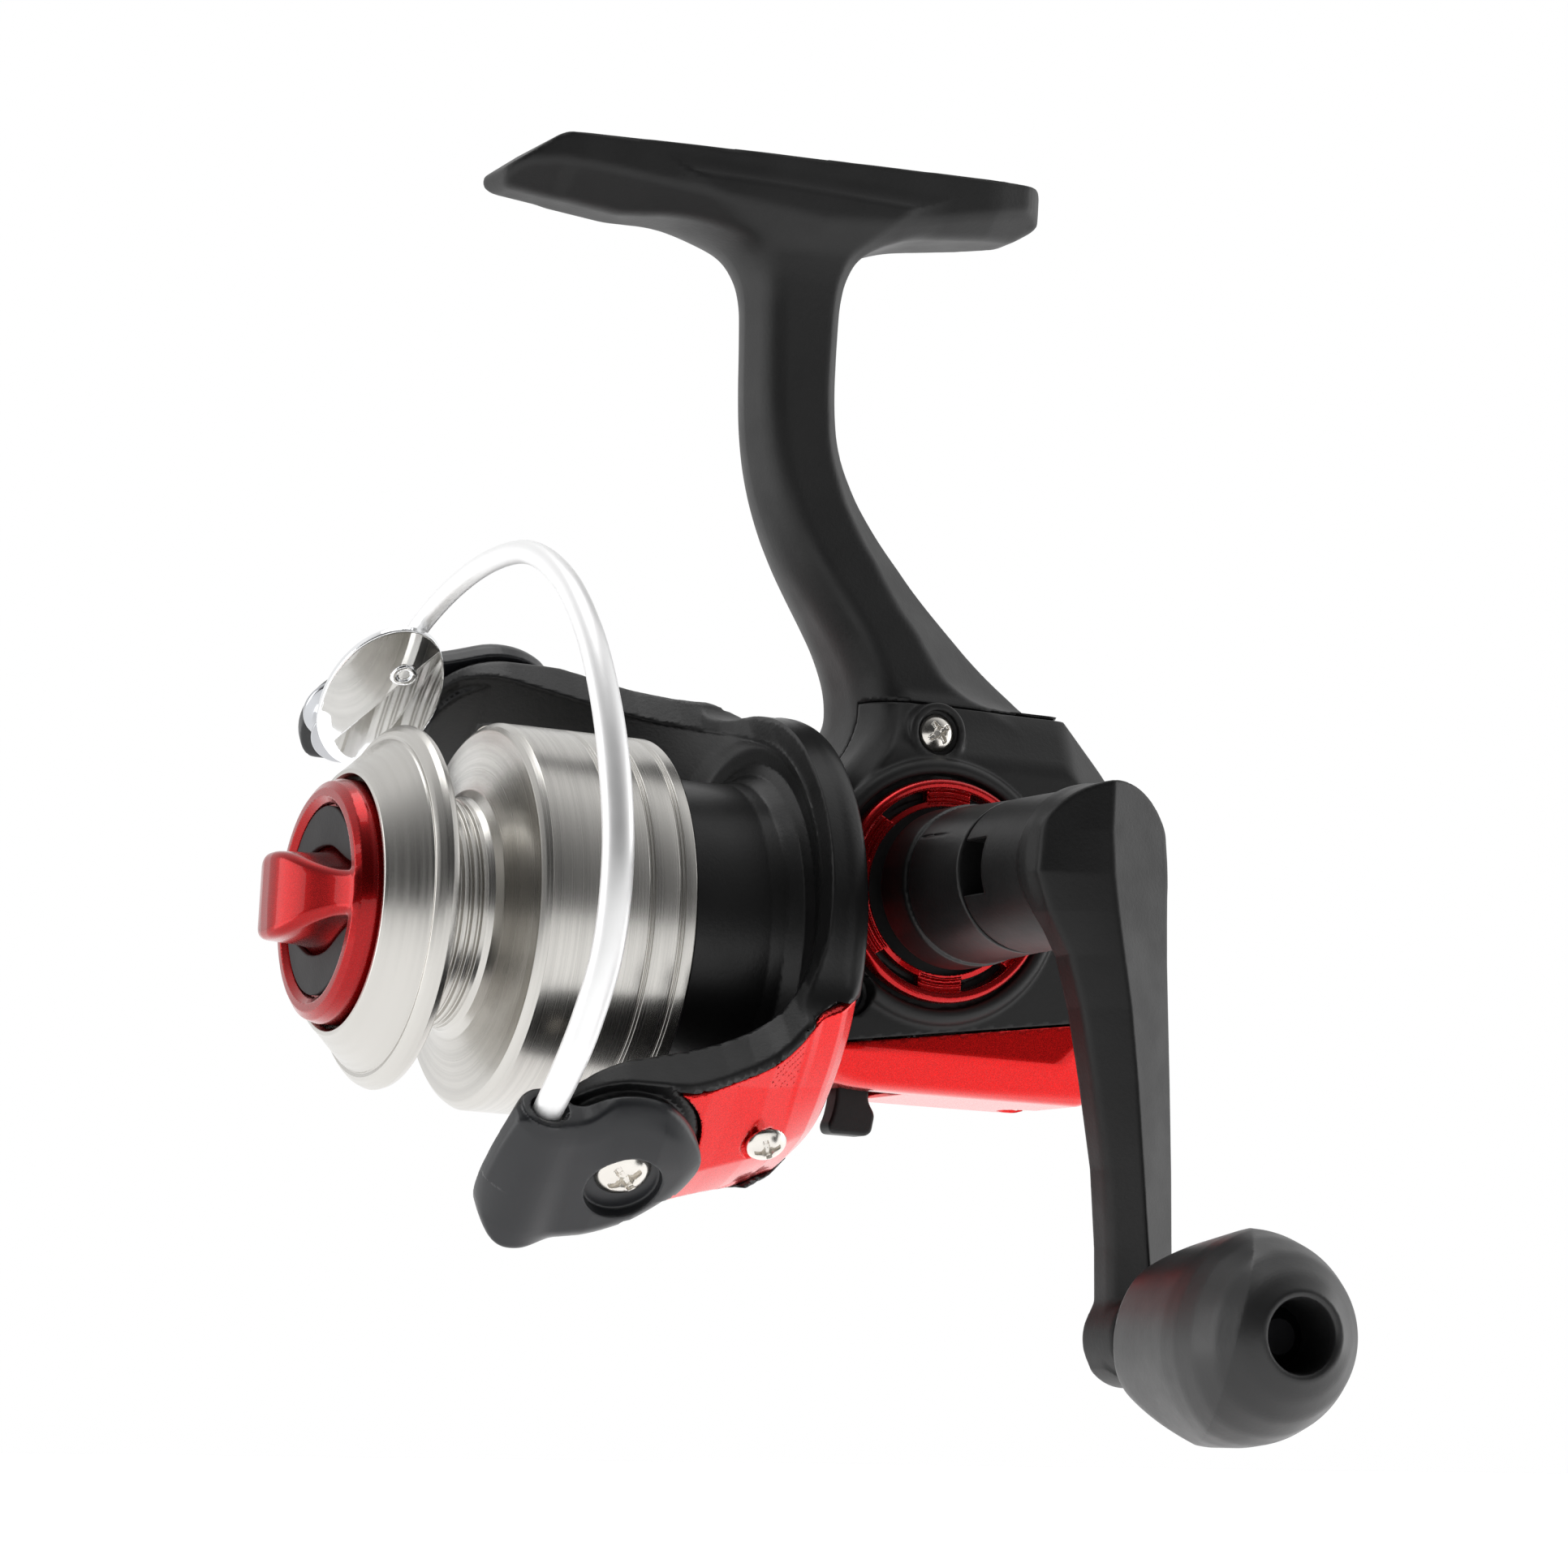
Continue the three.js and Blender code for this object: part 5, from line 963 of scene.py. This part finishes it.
def crank_d(P):
    x, y, z = P[:, 0], P[:, 1], P[:, 2]
    L, Rr, M = (np.interp(z, SEC[:, 0], SEC[:, k]) for k in (1, 2, 3))
    dl, dr = (L - y) * 0.95, (y - Rr)
    # roof of two planes that meet at the ridge
    top = 49.9
    a1 = ((x - top) * (M - L) - (y - M) * (top - 46.4)) / np.hypot(M - L, top - 46.4)
    a2 = ((x - top) * (Rr - M) + (y - M) * (top - 45.6)) / np.hypot(Rr - M, top - 45.6)
    arm = mx(mx(a1, a2, 0.35), mx(mx(dl, dr), 43.2 - x, 0.3), 0.5)
    arm = mx(arm, (-37.8 - 4.5) - z)
    end = np.hypot(y - 5.8, z + 37.8) - 4.35
    arm = mx(arm, np.where(z < -37.8, end, -5.0))
    head = np.hypot(y, (z - HZ)) - 7.25  # round head
    arm = mx(arm, np.where(z > HZ, head, -9.0), 0.3)
    hub = poly(np.hypot(y, z - HZ), x, fillet([[-1, 30.65], [7.35, 30.65], [7.2, 40], [7.05, 44.2], [6.6, 44.9], [-1, 44.9]], 0.3, 4))
    boss = poly(np.hypot(y - 5.8, z + 37.8), x, fillet([[-1, 42.5], [3.9, 42.5], [4.3, 43.0], [4.3, 48.6], [3.8, 49.2], [-1, 49.2]], 0.3, 4))
    d = mn(mn(arm, hub, 1.2), boss, 0.6)
    d = mx(d, -mx(mx(x - 33.4, 3.9 - y), 28 - x))
    d = mx(d, -mx(mx(np.abs(x - 32.75) - 2.25, np.abs(y + 5.0) - 3.3), np.abs(z - HZ) - 2.6, 0.2), 0.1)
    d = mx(d, -mx(np.hypot(y - 5.8, z + 37.8) - 1.6, 48.0 - x))
    ear = mn(np.hypot(x - 30.5, y - 6.0) - 1.6, mx(np.abs(x - 32.4) - 1.7, np.abs(y - 5.0) - 1.4))
    d = mn(d, mx(ear, np.abs(np.abs(z - HZ) - 3.2) - 1.2))
    d = mx(d, -(mx(np.hypot(x - 30.5, y - 6.0) - 1.02, 0 * x - 1)))
    return mx(d, -mx(np.hypot(x - 30.5, y - 6.0) - 1.95, np.abs(z - HZ) - 2.0))


field("crank", crank_d, (28, -9, -43), (51, 11, 14), 0.30, M_ARM, "crank_arm", ["handle_crank"], "black_plastic")

KB = fillet([[3.2, 50.3], [9.75, 50.3], [9.75, 64.6], [9.5, 67.4], [8.75, 70.2], [7.4, 73.0], [5.5, 75.2], [3.9, 76.35], [3.35, 76.2], [3.2, 75.4], [3.2, 70.2], [1.7, 70.2], [1.7, 50.3]], 0.6, 4)
KP, KD = (66.0, 3.957, -37.728), (0.378, 0.907, -0.186)


def knob_d(P):
    x, y, z = P[:, 0], P[:, 1] - 5.8, P[:, 2] + 37.8
    r = np.hypot(y, z)
    side = (P - np.array(KP)) @ np.array(KD)  # plane of the crease; negative inboard
    body = poly(r, x, KB) + 0.36 * np.maximum(0, -side) * np.clip((r - 3.2) / 1.5, 0, 1)
    cone = (r - 6.2 - (x - 50.9) * 0.40) * 0.93
    return mx(body * 0.96, cone, 0.5)


field("knob_grip", knob_d, (49.5, -5, -48.5), (77, 16.5, -27), 0.24, M_RUBBER, "knob", ["handle_knob"], "grip_rubber")

# ------------------------------------------------------------------ floor, light, camera
def plane(name, pts, mat):
    me = bpy.data.meshes.new(name); me.from_pydata([tuple(p) for p in pts], [], [tuple(range(len(pts)))]); me.materials.append(mat)
    o = bpy.data.objects.new(name, me); bpy.context.scene.collection.objects.link(o); return o


fm, fnt, fp = nodes_of("floor_white")
fp.inputs["Roughness"].default_value = 0.9; fp.inputs["Emission Color"].default_value = (1, 1, 1, 1); fp.inputs["Emission Strength"].default_value = 0.55
link(fnt, mixcol(fnt, noise(fnt, 3, 2), (0.87, 0.87, 0.87), (0.89, 0.89, 0.89)), fp.inputs["Base Color"])
zf = CAD_LO.z - 0.05
plane("floor", [(-8, -8, zf), (8, -8, zf), (8, 8, zf), (-8, 8, zf)], fm)

w = bpy.data.worlds.new("studio"); bpy.context.scene.world = w; w.use_nodes = True
nt = w.node_tree; bg = nt.nodes["Background"]
tc = nt.nodes.new("ShaderNodeTexCoord")
sep = nt.nodes.new("ShaderNodeSeparateXYZ"); link(nt, tc.outputs["Generated"], sep.inputs[0])
cam_dir = vrow(np.array([507.52, -238.63 + 10, -57.0])); cam_dir /= np.linalg.norm(cam_dir)
dot = nt.nodes.new("ShaderNodeVectorMath"); dot.operation = "DOT_PRODUCT"; link(nt, tc.outputs["Generated"], dot.inputs[0]); dot.inputs[1].default_value = tuple(cam_dir)
pw = nt.nodes.new("ShaderNodeMath"); pw.operation = "POWER"; link(nt, ramp(nt, dot.outputs["Value"], 0.0, 1.0, 0.97, -0.10), pw.inputs[0]); pw.inputs[1].default_value = 2.2
ml = nt.nodes.new("ShaderNodeMath"); ml.operation = "MULTIPLY_ADD"; link(nt, pw.outputs[0], ml.inputs[0]); ml.inputs[1].default_value = 0.90; ml.inputs[2].default_value = 0.035
front = ml.outputs[0]  # darker room on the side the picture is taken from
lp = nt.nodes.new("ShaderNodeLightPath")
mxn = nt.nodes.new("ShaderNodeMix"); mxn.data_type = "FLOAT"
link(nt, lp.outputs["Is Camera Ray"], mxn.inputs[0]); link(nt, front, mxn.inputs[2]); mxn.inputs[3].default_value = 1.0
bg.inputs["Color"].default_value = (1, 1, 1, 1)
link(nt, mxn.outputs[0], bg.inputs["Strength"])


def area(name, pos, target, size, power, shape="RECTANGLE", sy=None):
    l = bpy.data.lights.new(name, "AREA"); l.energy = power; l.shape = shape; l.size = size
    if sy: l.size_y = sy
    o = bpy.data.objects.new(name, l); bpy.context.scene.collection.objects.link(o)
    p, t = Vector(row(pos)), Vector(row(target)); o.location = p
    o.rotation_mode = "QUATERNION"; o.rotation_quaternion = (p - t).to_track_quat("Z", "Y")
    o.visible_camera = False
    return o


area("top_soft", (-40, -60, 430), (0, -10, 20), 0.30, 0.40, sy=0.22)
area("left_soft", (-140, -430, 40), (0, -20, 0), 0.22, 0.42, sy=0.34)
area("right_soft", (60, 430, 60), (20, 0, 0), 0.22, 0.45, sy=0.34)

cam = bpy.data.cameras.new("camera"); co = bpy.data.objects.new("camera", cam)
bpy.context.scene.collection.objects.link(co); bpy.context.scene.camera = co
cam.sensor_width = 36.0; cam.sensor_fit = "AUTO"; cam.lens = 7000.0 / 1932 * 36.0
cam.clip_start, cam.clip_end = 0.01, 50
AZ, EL, ROLL = 65.95 * D2R, -7.49 * D2R, 3.11 * D2R
back = np.array([math.sin(AZ) * math.cos(EL), -math.cos(AZ) * math.cos(EL), math.sin(EL)])
right = np.array([math.cos(AZ), math.sin(AZ), 0.0]); up = np.cross(back, right)
R = np.array([math.cos(ROLL) * right + math.sin(ROLL) * up, -math.sin(ROLL) * right + math.cos(ROLL) * up, back])
m = np.eye(4)
for i in range(3):
    m[:3, i] = vrow(R[i])
m[:3, 3] = row([507.52, -238.63, -57.00])
co.matrix_world = Matrix(m.tolist())

sc = bpy.context.scene
sc.view_settings.view_transform = "Standard"
sc.view_settings.look = "None"
bpy.context.view_layer.update()
